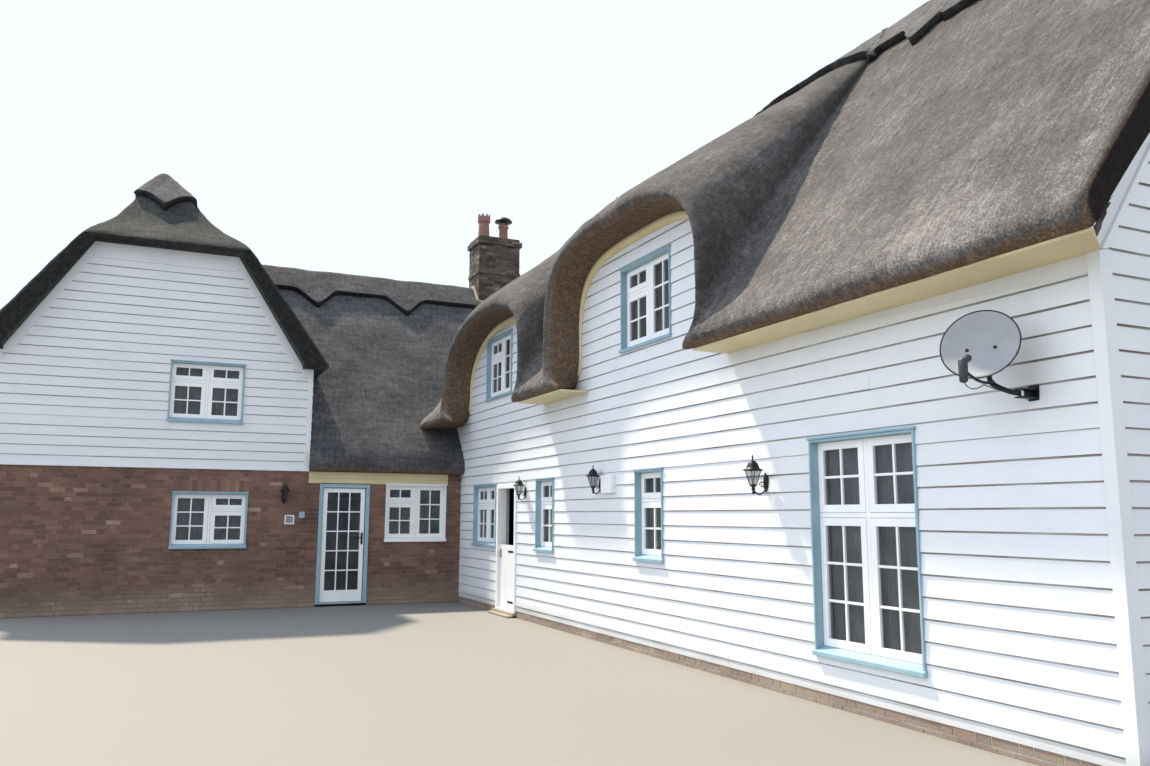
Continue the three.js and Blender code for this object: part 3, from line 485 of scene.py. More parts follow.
@dataclass
class Grid:
    """A surface as rows of points, with the values that its thatch needs.

    points is (n, m, 3) and uv (n, m, 2) in metres. cut says how far a point is a cut end, and give
    how far the roughness of the thatch may move it.
    """

    points: Array
    uv: Array
    cut: Array
    give: Array

    def facing(self, direction: tuple[float, float, float]) -> "Grid":
        """Turns the grid over if its faces look away from a direction on average."""
        across = np.diff(self.points[:, :-1], axis=0)
        along = np.diff(self.points[:-1], axis=1)
        looks = np.cross(across, along).sum(axis=(0, 1)) @ np.array(direction)
        if looks >= 0:
            return self
        flipped = slice(None, None, -1)
        return Grid(self.points[flipped], self.uv[flipped], self.cut[flipped], self.give[flipped])


def quads(rows: int, columns: int) -> Array:
    """Returns the (f, 4) corner numbers of a grid's faces."""
    corner = (np.arange(rows - 1)[:, None] * columns + np.arange(columns - 1)).ravel()
    return np.stack([corner, corner + columns, corner + columns + 1, corner + 1], axis=1)


def plain_grid(points: Array, uv: Array | None = None, cut: float = 0.0, give: float = 1.0) -> Grid:
    """Wraps points as a Grid with the same cut and give all over.

    Args:
        points: (n, m, 3) places.
        uv: (n, m, 2) metres, or None for the distances along the grid's own lines.
        cut: the cut value.
        give: the give value.

    Returns:
        The grid.
    """
    if uv is None:
        first = np.linalg.norm(np.diff(points, axis=0), axis=2).mean(axis=1)
        second = np.linalg.norm(np.diff(points, axis=1), axis=2).mean(axis=0)
        reach = [np.concatenate([[0], np.cumsum(first)]), np.concatenate([[0], np.cumsum(second)])]
        uv = np.stack(np.meshgrid(*reach, indexing="ij"), axis=2)
    shape = points.shape[:2]
    return Grid(points, uv, np.full(shape, cut), np.full(shape, give))


def build_mesh(name: str, points: Array, groups: list[Array], values: dict | None = None,
               domain: str = "POINT", uv: Array | None = None) -> bpy.types.Mesh:
    """Puts arrays into a mesh.

    Args:
        name: the mesh's name.
        points: (n, 3) places.
        groups: (f, k) arrays of corner numbers, each with faces of k corners.
        values: attributes by name, a number for each point or face.
        domain: what the attributes lie on, POINT or FACE.
        uv: (n, 2) metres for the map named reed.

    Returns:
        The mesh.
    """
    mesh = bpy.data.meshes.new(name)
    sizes = np.concatenate([np.full(len(faces), faces.shape[1]) for faces in groups])
    corners = np.concatenate([faces.ravel() for faces in groups])
    mesh.vertices.add(len(points))
    mesh.vertices.foreach_set("co", np.ascontiguousarray(points, np.float32).ravel())
    mesh.loops.add(len(corners))
    mesh.loops.foreach_set("vertex_index", corners.astype(np.int32))
    mesh.polygons.add(len(sizes))
    mesh.polygons.foreach_set("loop_start", (np.cumsum(sizes) - sizes).astype(np.int32))
    mesh.update(calc_edges=True)
    for key, value in (values or {}).items():
        attribute = mesh.attributes.new(key, "FLOAT", domain)
        attribute.data.foreach_set("value", np.asarray(value, np.float32))
    if uv is not None:
        layer = mesh.uv_layers.new(name="reed")
        layer.data.foreach_set("uv", uv[corners].astype(np.float32).ravel())
    return mesh


def finish_piece(name: str, mesh: bpy.types.Mesh, finish, body: Body = Body.HOUSE,
                 stands_for: tuple[str, ...] = (), smooth: bool = False):
    """Makes a mesh a piece of the cottage.

    Args:
        name: the piece's name.
        mesh: its mesh, in place.
        finish: the finish, or a material.
        body: what it moves with.
        stands_for: CAD nodes that it replaces.
        smooth: whether its faces are shaded smooth.

    Returns:
        The object.
    """
    piece = bpy.data.objects.new(name, mesh)
    bpy.context.scene.collection.objects.link(piece)
    mesh.materials.append(PALETTE.get(finish))
    if smooth:
        mesh.shade_smooth()
    else:
        mesh.shade_flat()
    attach(piece, body.value)
    if stands_for:
        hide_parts(*stands_for)
    triangles = sum(len(face.vertices) - 2 for face in mesh.polygons)
    log.info("%s: %d triangles", name, triangles)
    return piece


# Thatch

WELD = 0.002
SLIVER = 0.0005
LOOSE_GIVE = 0.6
NOISE_SIZES = (0.7, 0.17, 0.07)
UNDER_LAP = 0.05
SHOULDER = 0.4
EDGE_STEPS = (3, 3, 4, 8, 3)


def smooth_curve(control: Array, steps: tuple[int, ...]) -> Array:
    """Rounds a polygon's corners.

    Each inner corner becomes a parabola between the middles of the two sides that meet there, and
    the curve runs straight to the first and last points.

    Args:
        control: (s, k, 3) polygons, one for each station.
        steps: the number of steps on each of the k - 2 corners, then on the last straight run.

    Returns:
        (s, m, 3) points.
    """
    middles = (control[:, :-1] + control[:, 1:]) / 2
    parts = [control[:, :1]]
    for i, count in enumerate(steps[:-1]):
        t = np.linspace(0, 1, count + 1)[None, :, None]
        a, b, c = middles[:, i, None], control[:, i + 1, None], middles[:, i + 1, None]
        curve = (1 - t) ** 2 * a + 2 * t * (1 - t) * b + t ** 2 * c
        parts.append(curve if i == 0 else curve[:, 1:])
    t = np.linspace(0, 1, steps[-1] + 1)[None, 1:, None]
    parts.append(middles[:, -1, None] * (1 - t) + control[:, -1, None] * t)
    return np.concatenate(parts, axis=1)


def resample(line: Array, count: int) -> Array:
    """Returns count points evenly spaced along a (k, 3) polyline."""
    reach = np.concatenate([[0], np.cumsum(np.linalg.norm(np.diff(line, axis=0), axis=1))])
    wanted = np.linspace(0, reach[-1], count)
    return np.stack([np.interp(wanted, reach, line[:, i]) for i in range(3)], axis=1)


def band(outer: Array, inner: Array, steps: int, cut: float = 2.0) -> Grid:
    """The cut face between two lines: straight across from each outer point to the inner line.

    Args:
        outer: (n, 3) outer edge.
        inner: (k, 3) inner edge.
        steps: faces across.
        cut: the cut value past the outer edge; the default of 2 paints the shade of a verge.

    Returns:
        A grid that keeps its inner edge still.
    """
    near = resample(inner, len(outer))
    share = np.linspace(0, 1, steps + 1)
    points = outer[:, None] * (1 - share[None, :, None]) + near[:, None] * share[None, :, None]
    grid = plain_grid(points, cut=cut)
    grid.give = np.broadcast_to(1 - share, points.shape[:2]).copy()
    grid.cut[:, 0] = 0.35
    return grid


def in_plane(ridge_x: float, line: Array, side: int, y: float) -> Array:
    """Places (k, 2) distances from a ridge and heights in the plane at y, on one side."""
    return np.stack([ridge_x + side * line[:, 0], np.full(len(line), y), line[:, 1]], axis=1)


@dataclass
class HalfHip:
    """A sloping end of a roof, swept like a bell.

    The outer plane meets the verge at foot and leans in by slope metres up for each metre in. The
    inner plane is drop lower. The thatch passes the gable wall by overhang, with a level soffit.
    The bell lowers the lower three quarters of the hip by up to bell metres.
    """

    foot: float = 6.25
    slope: float = 0.97
    drop: float = 0.37
    overhang: float = 0.29
    bell: float = 0.13
    fade: float = 1.3

    def lip(self) -> tuple[float, float]:
        """Returns the heights of the inner plane at the verge and at the wall."""
        low = self.foot - self.drop
        return low, low + self.slope * self.overhang

    def cast(self, points: Array, end: float, inward: int, ridge: float, lean: float = 0.0) -> Array:
        """Bends a roof's outer face to the bell.

        t is the share of the hip's height. A point sinks by bell times the squared sine of pi t /
        0.75, which fades evenly with its distance behind the hip, and near the ridge it leans
        aside by a smoothstep of t and sinks by half as much.

        Args:
            points: (..., 3) places.
            end: the verge's y.
            inward: +1 where the roof lies beyond the verge, else -1.
            ridge: the ridge's height.
            lean: metres that the apex leans towards -x.

        Returns:
            The bent points.
        """
        moved = points.copy()
        share = np.clip((points[..., 2] - self.foot) / (ridge - self.foot), 0, 1)
        behind = inward * (points[..., 1] - end) - share * (ridge - self.foot) / self.slope
        low = np.sin(math.pi * np.minimum(share / 0.75, 1)) ** 2
        top = share ** 2 * (3 - 2 * share) * np.clip(1 - behind / 2, 0, 1)
        moved[..., 2] -= self.bell * low * np.clip(1 - behind / self.fade, 0, 1) + lean / 2 * top
        moved[..., 0] -= lean * top
        return moved

    def draw_in(self, points: Array, end: float, inward: int) -> Array:
        """Stops the roof space's faces at the gable wall and at the hip's inner plane."""
        moved = points.copy()
        reach = np.maximum(self.overhang, (points[..., 2] - self.lip()[0]) / self.slope)
        moved[..., 1] = inward * np.maximum(inward * points[..., 1], inward * end + reach)
        return moved

    def close(self, ridge_x: float, section: "Section", sides: tuple[Array, Array], y: float,
              inward: int, lip_half: float, rims: tuple[Array, Array] | None = None) -> list[Grid]:
        """Closes a roof's end: the hip's face, the verge, its soffit and the hip's inner plane.

        Args:
            ridge_x: the ridge's place.
            section: the roof's cross section.
            sides: (m, 3) verge lines of the two slopes, from the wall line to the ridge.
            y: the verge's place.
            inward: +1 where the roof lies beyond the verge, else -1.
            lip_half: half the width of the level soffit.
            rims: the underside's (k, 2) lines at the verge and at the wall, where they are thinner
                than the roof space's own outline.

        Returns:
            The grids.
        """
        low, lip = self.lip()
        wall_y = y + inward * self.overhang
        start = int(np.argmax(sides[0][:, 2] > self.foot - 0.004))
        face = hip_grid(sides[0][start:], sides[1][start:], 46)
        line = np.array([(section.half, section.plate), (section.inner, section.plate),
                         (section.inner, section.knee), (lip_half, lip)])
        outer_rim, wall_rim = rims or (line, line)
        front = [in_plane(ridge_x, outer_rim, side, y) for side in (-1, 1)]
        rear = [in_plane(ridge_x, wall_rim, side, wall_y) for side in (-1, 1)]
        back = [in_plane(ridge_x, line, side, wall_y) for side in (-1, 1)]
        ceiling = section.inner * (section.peak - lip) / (section.peak - section.knee)
        corners = [np.array([ridge_x + side * ceiling, wall_y, lip]) for side in (-1, 1)]
        peak = np.array([ridge_x, y + inward * (section.peak - low) / self.slope, section.peak])
        soffit = np.stack([np.concatenate([rim[0], rim[1][::-1]]) for rim in (front, rear)])
        verge = [band(face.points[0], np.stack([front[0][-1], front[1][-1]]), 4)]
        for side in (0, 1):
            verge.append(band(sides[side][:start + 1], front[side][1:], 6))
            sliver = np.array([[back[side][3], corners[side]], [back[side][2]] * 2])
            verge.append(plain_grid(sliver, cut=1.0, give=0.0))
            if rims:
                between = np.stack([resample(rear[side], 9), resample(back[side], 9)])
                verge.append(plain_grid(between, cut=1.0, give=0.0))
        inner = plain_grid(np.array([corners, [peak, peak]]), cut=1.0, give=0.0)
        return [face.facing((0, -inward, 1)), inner.facing((0, inward, -1)),
                plain_grid(soffit, cut=1.0, give=0.0).facing((0, 0, -1)),
                *(grid.facing((0, -inward, 0)) for grid in verge)]


def thatch_mesh(name: str, grids: list[Grid], smoothing: int, seed: int,
                roughness: tuple[float, ...] = (0.014, 0.007, 0.004)) -> bpy.types.Mesh:
    """Joins grids into one skin and roughens it.

    The seams are welded, the skin is relaxed so that no arris stays sharp, and each point then
    moves along its normal by three sizes of lattice noise times its give.

    Args:
        name: the mesh's name.
        grids: the surfaces.
        smoothing: how many times the points that give are relaxed.
        seed: picks the noise.
        roughness: the depth of the noise at each of its sizes, in metres.

    Returns:
        The mesh.
    """
    points, faces, uv, cut, give, start = [], [], [], [], [], 0
    for grid in grids:
        rows, columns = grid.points.shape[:2]
        points.append(grid.points.reshape(-1, 3))
        faces.append(quads(rows, columns) + start)
        uv.append(grid.uv.reshape(-1, 2))
        cut.append(grid.cut.ravel())
        give.append(grid.give.ravel())
        start += rows * columns
    mesh = build_mesh(name, np.concatenate(points), faces,
                      {"cut": np.concatenate(cut), "give": np.concatenate(give)},
                      uv=np.concatenate(uv))
    shell = bmesh.new()
    shell.from_mesh(mesh)
    bmesh.ops.remove_doubles(shell, verts=shell.verts, dist=WELD)
    bmesh.ops.dissolve_degenerate(shell, edges=shell.edges, dist=SLIVER)
    layer = shell.verts.layers.float["give"]
    loose = [v for v in shell.verts if v[layer] > LOOSE_GIVE]
    for _ in range(smoothing):
        bmesh.ops.smooth_vert(shell, verts=loose, factor=0.5, use_axis_x=True, use_axis_y=True,
                              use_axis_z=True)
    shell.to_mesh(mesh)
    shell.free()
    roughen(mesh, seed, roughness)
    return mesh


def skin_arrays(mesh: bpy.types.Mesh) -> tuple[Array, Array, Array]:
    """Returns a mesh's (n, 3) places, its (n, 3) normals and its (n,) give."""
    count = len(mesh.vertices)
    places, normals = np.empty(count * 3, np.float32), np.empty(count * 3, np.float32)
    give = np.empty(count, np.float32)
    mesh.vertices.foreach_get("co", places)
    mesh.vertex_normals.foreach_get("vector", normals)
    mesh.attributes["give"].data.foreach_get("value", give)
    return places.reshape(-1, 3).astype(float), normals.reshape(-1, 3), give


def set_places(mesh: bpy.types.Mesh, places: Array) -> None:
    """Puts (n, 3) places into a mesh."""
    mesh.vertices.foreach_set("co", places.astype(np.float32).ravel())
    mesh.update()


def roughen(mesh: bpy.types.Mesh, seed: int, depths: tuple[float, ...]) -> None:
    """Moves each point of a mesh along its normal by lattice noise times its give.

    Args:
        mesh: a mesh with a give attribute.
        seed: picks the noise.
        depths: the noise's depth at each of its sizes, in metres.
    """
    places, normals, give = skin_arrays(mesh)
    lift = sum(depth * lattice_noise(places, size, seed + i)
               for i, (size, depth) in enumerate(zip(NOISE_SIZES, depths)))
    set_places(mesh, places + normals * (lift * give)[:, None])


@dataclass
class Section:
    """Half of a straight roof's cross section, as distances from the ridge line and heights."""

    half: float
    out: float
    plate: float
    eave_top: float
    ridge: float
    inner: float
    knee: float
    peak: float
    drip_in: float = 0.04
    top_in: float = 0.05
    nose_share: float = 0.4

    def control(self) -> Array:
        """Returns (5, 2) points: wall line, drip, nose, top edge and ridge."""
        edge = self.half + self.out
        nose = self.plate + (self.eave_top - self.plate) * self.nose_share
        return np.array([
            (self.half, self.plate), (edge - self.drip_in, self.plate), (edge, nose),
            (edge - self.top_in, self.eave_top), (0, self.ridge)])

    def hollow(self) -> Array:
        """Returns the inner face's (4, 2) points, from the wall line to the peak."""
        return np.array([(self.half, self.plate), (self.inner, self.plate), (self.inner, self.knee),
                         (0, self.peak)])


def slope_rows(control: Array, breaks: tuple[float, ...], spacing: float) -> Array:
    """Runs each station's section from the wall line up to the ridge.

    Args:
        control: (s, 5, 3) wall line, drip, nose, top edge and ridge of each station.
        breaks: heights on a plain section at which a row must lie.
        spacing: distance between the rows up the slope.

    Returns:
        (s, m, 3) points.
    """
    wall, drip, nose, top, ridge = np.moveaxis(control, 1, 0)
    to_wall = (wall - drip) / np.linalg.norm(wall - drip, axis=1, keepdims=True)
    to_ridge = (ridge - top) / np.linalg.norm(ridge - top, axis=1, keepdims=True)
    under = drip + to_wall * UNDER_LAP
    shoulder = top + to_ridge * SHOULDER
    lower = smooth_curve(np.stack([wall, under, drip, nose, top, shoulder], axis=1), EDGE_STEPS)
    plain = np.array([0, -1])
    rise = ridge[plain, 2] - shoulder[plain, 2]
    length = np.linalg.norm(ridge[0] - shoulder[0])
    marks = [0, *[float((b - shoulder[0, 2]) / rise[0]) for b in breaks], 1]
    shares = [np.linspace(a, b, max(2, round((b - a) * length / spacing)) + 1)[1:]
              for a, b in zip(marks[:-1], marks[1:])]
    t = np.concatenate(shares)[None, :, None]
    upper = shoulder[:, None] * (1 - t) + ridge[:, None] * t
    return np.concatenate([lower, upper], axis=1)


def cut_values(points: Array) -> Array:
    """How far each row is a cut end: the underside, the drip edge and a narrow strip above it."""
    rows = np.array([1] * 7 + [0.5])
    values = np.zeros(points.shape[:2])
    values[:, :len(rows)] = rows
    return values


def give_values(points: Array) -> Array:
    """How far each row may move: none on the wall line, all from the drip up."""
    rows = np.array([0, 0, 0.2, 0.4, 0.6, 0.8, 0.9])
    values = np.ones(points.shape[:2])
    values[:, :len(rows)] = rows
    return values


def slope_grid(points: Array, along: Array) -> Grid:
    """Wraps a slope's rows as a grid.

    Args:
        points: (s, m, 3) places.
        along: (s,) metres along the eaves, for the reed's own map.

    Returns:
        The grid.
    """
    step = np.linalg.norm(np.diff(points[0], axis=0), axis=1)
    up = np.concatenate([[0], np.cumsum(step)])
    uv = np.stack(np.meshgrid(along, up, indexing="ij"), axis=2)
    return Grid(points, uv, cut_values(points), give_values(points))


def hip_shift(points: Array, end: float, inward: float, run: float, hip: HalfHip,
              foot: float) -> Array:
    """Draws a slope's rows back to a hip.

    A row at height z starts (z - foot) / slope further in than the verge, and the shift fades
    evenly over run metres.

    Args:
        points: (s, m, 3) places, running along Y.
        end: the verge's y.
        inward: +1 where the roof lies beyond the verge, else -1.
        run: metres over which the shift fades.
        hip: the hip.
        foot: height at which the hip starts.

    Returns:
        The shifted points.
    """
    moved = points.copy()
    back = np.maximum(0, (points[..., 2] - foot) / hip.slope)
    near = np.clip(1 - np.abs(points[..., 1] - end) / run, 0, 1)
    moved[..., 1] += inward * back * near
    return moved


def hip_grid(low_side: Array, high_side: Array, columns: int) -> Grid:
    """A plane face between two arrises: rows run straight across between points at one height.

    Args:
        low_side: (m, 3) points up one arris.
        high_side: (m, 3) points up the other.
        columns: faces across.

    Returns:
        The grid.
    """
    share = np.linspace(0, 1, columns + 1)[None, :, None]
    points = low_side[:, None] * (1 - share) + high_side[:, None] * share
    step = np.linalg.norm(np.diff(points.mean(axis=1), axis=0), axis=1)
    up = np.concatenate([[0], np.cumsum(step)])[:, None]
    uv = np.stack([points[..., 0], np.broadcast_to(up, points.shape[:2])], axis=2)
    return plain_grid(points, uv)


@dataclass
class Dormer:
    """An arch in the eaves: a superellipse with its own power on each side."""

    centre: float
    half: float
    top: float
    near_power: float
    far_power: float


@dataclass
class Cheek:
    """One side of a dormer: thatch thickness, sweep of the top edge, wall setback, ridge reach."""

    thatch: float
    top_sweep: float
    wall_in: float
    ridge_share: float


@dataclass
class RightWingRoof:
    """The long wing's roof, with a half hip at its near end and two swept dormers a side.

    The eaves line is a table of stations. Each gives the drip edge, the edge of the top surface and
    the wall line as y and z, then the ridge's y and the roof space's knee height.
    """

    ridge_x: float = WING_RIDGE_X
    half: float = 3.03
    out: float = 0.5
    drip_in: float = 0.03
    nose_out: float = 0.08
    nose_share: float = 0.33
    top_in: float = 0.01
    plate: float = 3.31
    eave_top: float = 3.55
    ridge: float = 7.87
    near: float = -10.3
    far: float = WING_FAR_Y
    knee: float = 3.87
    peak: float = 7.3
    inner: float = 2.83
    spring: float = 3.85
    toe: float = 0.3
    near_toe: float = 0.46
    toe_start: float = 0.4
    sweep: float = 0.5
    crown: float = 0.27
    arch_knee: float = 0.23
    step: float = 0.068
    hip: HalfHip = field(default_factory=HalfHip)
    hip_run: float = 3.5
    dormers: tuple[Dormer, ...] = (
        Dormer(-4.14, 1.93, 5.15, 3.0, 3.7), Dormer(0.8, 1.9, 4.93, 3.0, 2.1))
    near_cheek: Cheek = field(default_factory=lambda: Cheek(0.04, 0.15, 0.33, 0.57))
    far_cheek: Cheek = field(default_factory=lambda: Cheek(0.17, 0.33, 0.0, 0.8))
    drip: float = 3.47
    rim_rise: float = 0.508
    rim_strips: int = 16
    lip_half: float = 0.94
    tip_y: float = 3.42
    tip_half: float = 0.42
    tip_height: float = 0.9
    tip_out: float = 0.26
    tip_drop: float = 0.07
    sweep_samples: int = 200
    arch_samples: int = 900
    drip_weight: float = 0.6

    def rims(self) -> tuple[Array, Array]:
        """Returns the near underside's lines at the verge and at the wall, from the eaves to the lip."""
        lip = self.hip.lip()[1]
        foot, head = (self.half, self.plate), (self.lip_half, lip)
        middle = ((self.half + self.lip_half) / 2, (self.plate + lip) / 2)
        marks = np.linspace(0, 2, self.rim_strips + 1)
        lines = (((self.drip, self.plate), (self.half, self.plate + self.rim_rise), head),
                 (foot, middle, head))
        outer, wall = (np.stack([np.interp(marks, range(3), part) for part in zip(*line)], axis=1)
                       for line in lines)
        return outer, wall

    def mitred(self, points: Array, side: int) -> Array:
        """Cuts the level underside back on the skew past the near gable, from the wall to the drip."""
        moved = points.copy()
        past = np.clip((self.near + self.hip.overhang - points[..., 1]) / self.hip.overhang, 0, 1)
        limit = self.half + (self.drip - self.half) * past
        out = side * (points[..., 0] - self.ridge_x)
        level = points[..., 2] < self.plate + 0.02
        moved[..., 0] = self.ridge_x + side * np.where(level, np.maximum(out, limit), out)
        return moved

    def plain(self, y: Array) -> Array:
        """Stations of the level eaves."""
        whole = np.ones_like(y)
        return np.stack([y, self.plate * whole, y, self.eave_top * whole, y, self.plate * whole, y,
                         self.knee * whole], axis=1)

    def swept(self, dormer: Dormer, side: int, share: Array) -> Array:
        """Stations of the sweep at a dormer's foot: quarter sines, and a toe in the drip edge."""
        cheek = self.near_cheek if side > 0 else self.far_cheek
        jamb = dormer.centre - side * dormer.half
        turn = share * math.pi / 2
        start = jamb - side * self.sweep
        top_start = jamb - side * (cheek.thatch + cheek.top_sweep)
        reach = dormer.centre - side * cheek.ridge_share * dormer.half - top_start
        rise = self.spring - self.plate
        toe_share = np.maximum(0, (share - self.toe_start) / (1 - self.toe_start))
        level = np.minimum(1, share / self.toe_start)
        toe = self.near_toe if side > 0 else self.toe
        drip_y = np.where(toe_share > 0, jamb + side * toe * (1 - toe_share) ** 3,
                          start + side * (self.sweep + toe) * level)
        return np.stack([
            drip_y, self.plate + rise * toe_share,
            top_start + side * cheek.top_sweep * np.sin(turn),
            self.eave_top + (self.spring - self.eave_top) * (1 - np.cos(turn)),
            start + side * (self.sweep + cheek.wall_in) * np.sin(turn),
            self.plate + rise * (1 - np.cos(turn)),
            top_start + reach * np.sin(turn), np.full_like(share, self.knee)], axis=1)

    def arched(self, dormer: Dormer, angle: Array) -> Array:
        """Stations of the arch: y goes with a power of the cosine and z with one of the sine."""
        near = angle < math.pi / 2
        power, thatch, wall_in, reach = (np.where(near, *pair) for pair in (
            (dormer.near_power, dormer.far_power),
            (self.near_cheek.thatch, self.far_cheek.thatch),
            (self.near_cheek.wall_in, self.far_cheek.wall_in),
            (self.near_cheek.ridge_share, self.far_cheek.ridge_share)))
        cosine, lift = np.cos(angle), np.maximum(0, np.sin(angle))
        y = dormer.centre - dormer.half * np.sign(cosine) * np.abs(cosine) ** (2 / power)
        z = self.spring + (dormer.top - self.spring) * lift ** (2 / power)
        depth = thatch + (self.crown - thatch) * lift
        wall_y = y + wall_in * cosine
        knee = self.knee + (dormer.top + self.arch_knee - self.knee) * lift
        return np.stack([y, z, y - depth * cosine, z + depth * lift, wall_y, z,
                         dormer.centre - reach * dormer.half * cosine, knee], axis=1)

    def stations(self) -> Array:
        """Returns the (s, 8) table, spaced evenly by how far its edges move."""
        share = np.linspace(0, 1, self.sweep_samples)
        angle = np.linspace(0, math.pi, self.arch_samples)
        parts = [self.plain(np.array([self.near]))]
        for dormer in self.dormers:
            parts += [self.swept(dormer, 1, share), self.arched(dormer, angle),
                      self.swept(dormer, -1, share[::-1])]
        parts.append(self.plain(np.array([self.far])))
        table = np.concatenate(parts)
        moves = np.diff(table[:, [2, 3, 6]], axis=0)
        drips = np.diff(table[:, :2], axis=0) * self.drip_weight
        reach = np.concatenate([[0], np.cumsum(np.hypot(
            np.linalg.norm(moves, axis=1), np.linalg.norm(drips, axis=1)) + 1e-9)])
        wanted = np.linspace(0, reach[-1], round(reach[-1] / self.step) + 1)
        return np.stack([np.interp(wanted, reach, column) for column in table.T], axis=1)

    def control(self, table: Array, side: int) -> Array:
        """Returns (s, 5, 3) section points on one side: -1 over the courtyard, +1 over the garden."""
        drip_y, drip_z, top_y, top_z, wall_y, wall_z, ridge_y = table.T[:7]
        edge = self.half + self.out
        whole = np.ones_like(drip_y)
        rows = [
            (self.half * whole, wall_y, wall_z), ((edge - self.drip_in) * whole, drip_y, drip_z),
            ((edge + self.nose_out) * whole, (drip_y + top_y) / 2,
             drip_z + self.nose_share * (top_z - drip_z)),
            ((edge - self.top_in) * whole, top_y, top_z), (0 * whole, ridge_y, self.ridge * whole)]
        points = np.stack([np.stack(row, axis=1) for row in rows], axis=1)
        points[..., 0] = self.ridge_x + side * points[..., 0]
        return points

    def inner_grid(self, table: Array, side: int) -> Grid:
        """The roof space's face: upright inside the wall up to the knee, then to the peak."""
        wall_y, wall_z, ridge_y, knee = table.T[4:8]
        lip = self.hip.lip()[1]
        share = (lip - knee) / (self.peak - knee)
        whole = np.ones_like(wall_y)
        rows = [
            (self.half * whole, wall_y, wall_z), (self.inner * whole, wall_y, wall_z),
            (self.inner * whole, wall_y, knee),
            (self.inner * (1 - share), wall_y + (ridge_y - wall_y) * share, lip * whole),
            (0 * whole, ridge_y, self.peak * whole)]
        points = np.stack([np.stack(row, axis=1) for row in rows], axis=1)
        points[..., 0] = self.ridge_x + side * points[..., 0]
        points = self.hip.draw_in(points, self.near, 1)
        return plain_grid(points, cut=1.0, give=0.0).facing((-side, 0, -1))

    def flare(self, points: Array) -> Array:
        """Draws the court eaves out to a tip where they die into the back range.

        The shift is a bell in y round the tip, fading from the drip edge up the slope.
        """
        moved = points.copy()
        bell = np.exp(-((points[..., 1] - self.tip_y) / self.tip_half) ** 2)
        low = np.clip(1 - (points[..., 2] - self.plate) / self.tip_height, 0, 1) ** 1.5
        outer = np.clip((self.ridge_x - points[..., 0] - self.half) / self.out, 0, 1)
        moved[..., 0] -= self.tip_out * bell * low * outer
        moved[..., 2] -= self.tip_drop * bell * low * outer
        return moved

    def build(self) -> None:
        """Builds the thatch."""
        table = self.stations()
        along = np.concatenate([[0], np.cumsum(np.linalg.norm(np.diff(table[:, 2:4], axis=0), axis=1))])
        grids, ends = [], []
        for side in (-1, 1):
            points = slope_rows(self.control(table, side), (self.hip.foot,), self.step)
            points = self.mitred(self.shifted(points), side)
            if side < 0:
                points = self.flare(points)
            grids += [slope_grid(points, along).facing((side, 0, 1)), self.inner_grid(table, side)]
            ends.append(points)
        section = Section(self.half, self.out, self.plate, self.eave_top, self.ridge, self.inner,
                          self.knee, self.peak)
        grids += self.hip.close(self.ridge_x, section, (ends[0][0], ends[1][0]), self.near, 1,
                                self.lip_half, self.rims())
        full = section.hollow()[1:]
        far_inner = np.concatenate([in_plane(self.ridge_x, full, -1, self.far),
                                    in_plane(self.ridge_x, full[::-1], 1, self.far)[1:]])
        far_outer = np.concatenate([ends[0][-1], ends[1][-1][::-1][1:]])
        grids.append(band(far_outer, far_inner, 5).facing((0, 1, 0)))
        mesh = thatch_mesh("right_wing_reed", grids, 2, 11)
        finish_piece("right_wing_reed", mesh, WING_REED, stands_for=("right_wing_thatch",), smooth=True)

    def shifted(self, points: Array) -> Array:
        """Draws rows back to the near hip and bends them to its bell."""
        drawn = hip_shift(points, self.near, 1, self.hip_run, self.hip, self.hip.foot)
        return self.hip.cast(drawn, self.near, 1, self.ridge)


@dataclass
class CrossWingRoof:
    """The cross wing's roof: straight eaves and a half hip at each end."""

    ridge_x: float = CROSS_RIDGE_X
    front: float = 2.95
    rear: float = 10.3
    step: float = 0.058
    lean: float = 0.17
    lip_half: float = 1.14
    hip: HalfHip = field(default_factory=HalfHip)
    section: Section = field(default_factory=lambda: Section(
        2.525, 0.26, 4.22, 4.33, 8.08, 2.325, 4.28, 7.6))

    def shifted(self, points: Array) -> Array:
        """Draws rows back to both hips and bends them to their bells; the front apex leans."""
        run = (self.rear - self.front) / 2
        for end, inward, lean in ((self.front, 1, self.lean), (self.rear, -1, 0.0)):
            points = hip_shift(points, end, inward, run, self.hip, self.hip.foot)
            points = self.hip.cast(points, end, inward, self.section.ridge, lean)
        return points

    def build(self) -> None:
        """Builds the thatch."""
        along = np.linspace(self.front, self.rear, round((self.rear - self.front) / self.step) + 1)
        hollow = self.section.hollow()
        grids, sides = [], []
        for side in (-1, 1):
            control = np.stack([in_plane(self.ridge_x, self.section.control(), side, y) for y in along])
            points = self.shifted(slope_rows(control, (self.hip.foot,), self.step))
            inner = np.stack([in_plane(self.ridge_x, hollow, side, y) for y in along])
            for end, inward in ((self.front, 1), (self.rear, -1)):
                inner = self.hip.draw_in(inner, end, inward)
            grids += [slope_grid(points, along).facing((side, 0, 1)),
                      plain_grid(inner, cut=1.0, give=0.0).facing((-side, 0, -1))]
            sides.append(points)
        for end, y, inward in ((0, self.front, 1), (-1, self.rear, -1)):
            grids += self.hip.close(self.ridge_x, self.section, (sides[0][end], sides[1][end]), y,
                                    inward, self.lip_half)
        mesh = thatch_mesh("cross_wing_reed", grids, 3, 23)
        finish_piece("cross_wing_reed", mesh, CROSS_REED, stands_for=("cross_wing_thatch",), smooth=True)


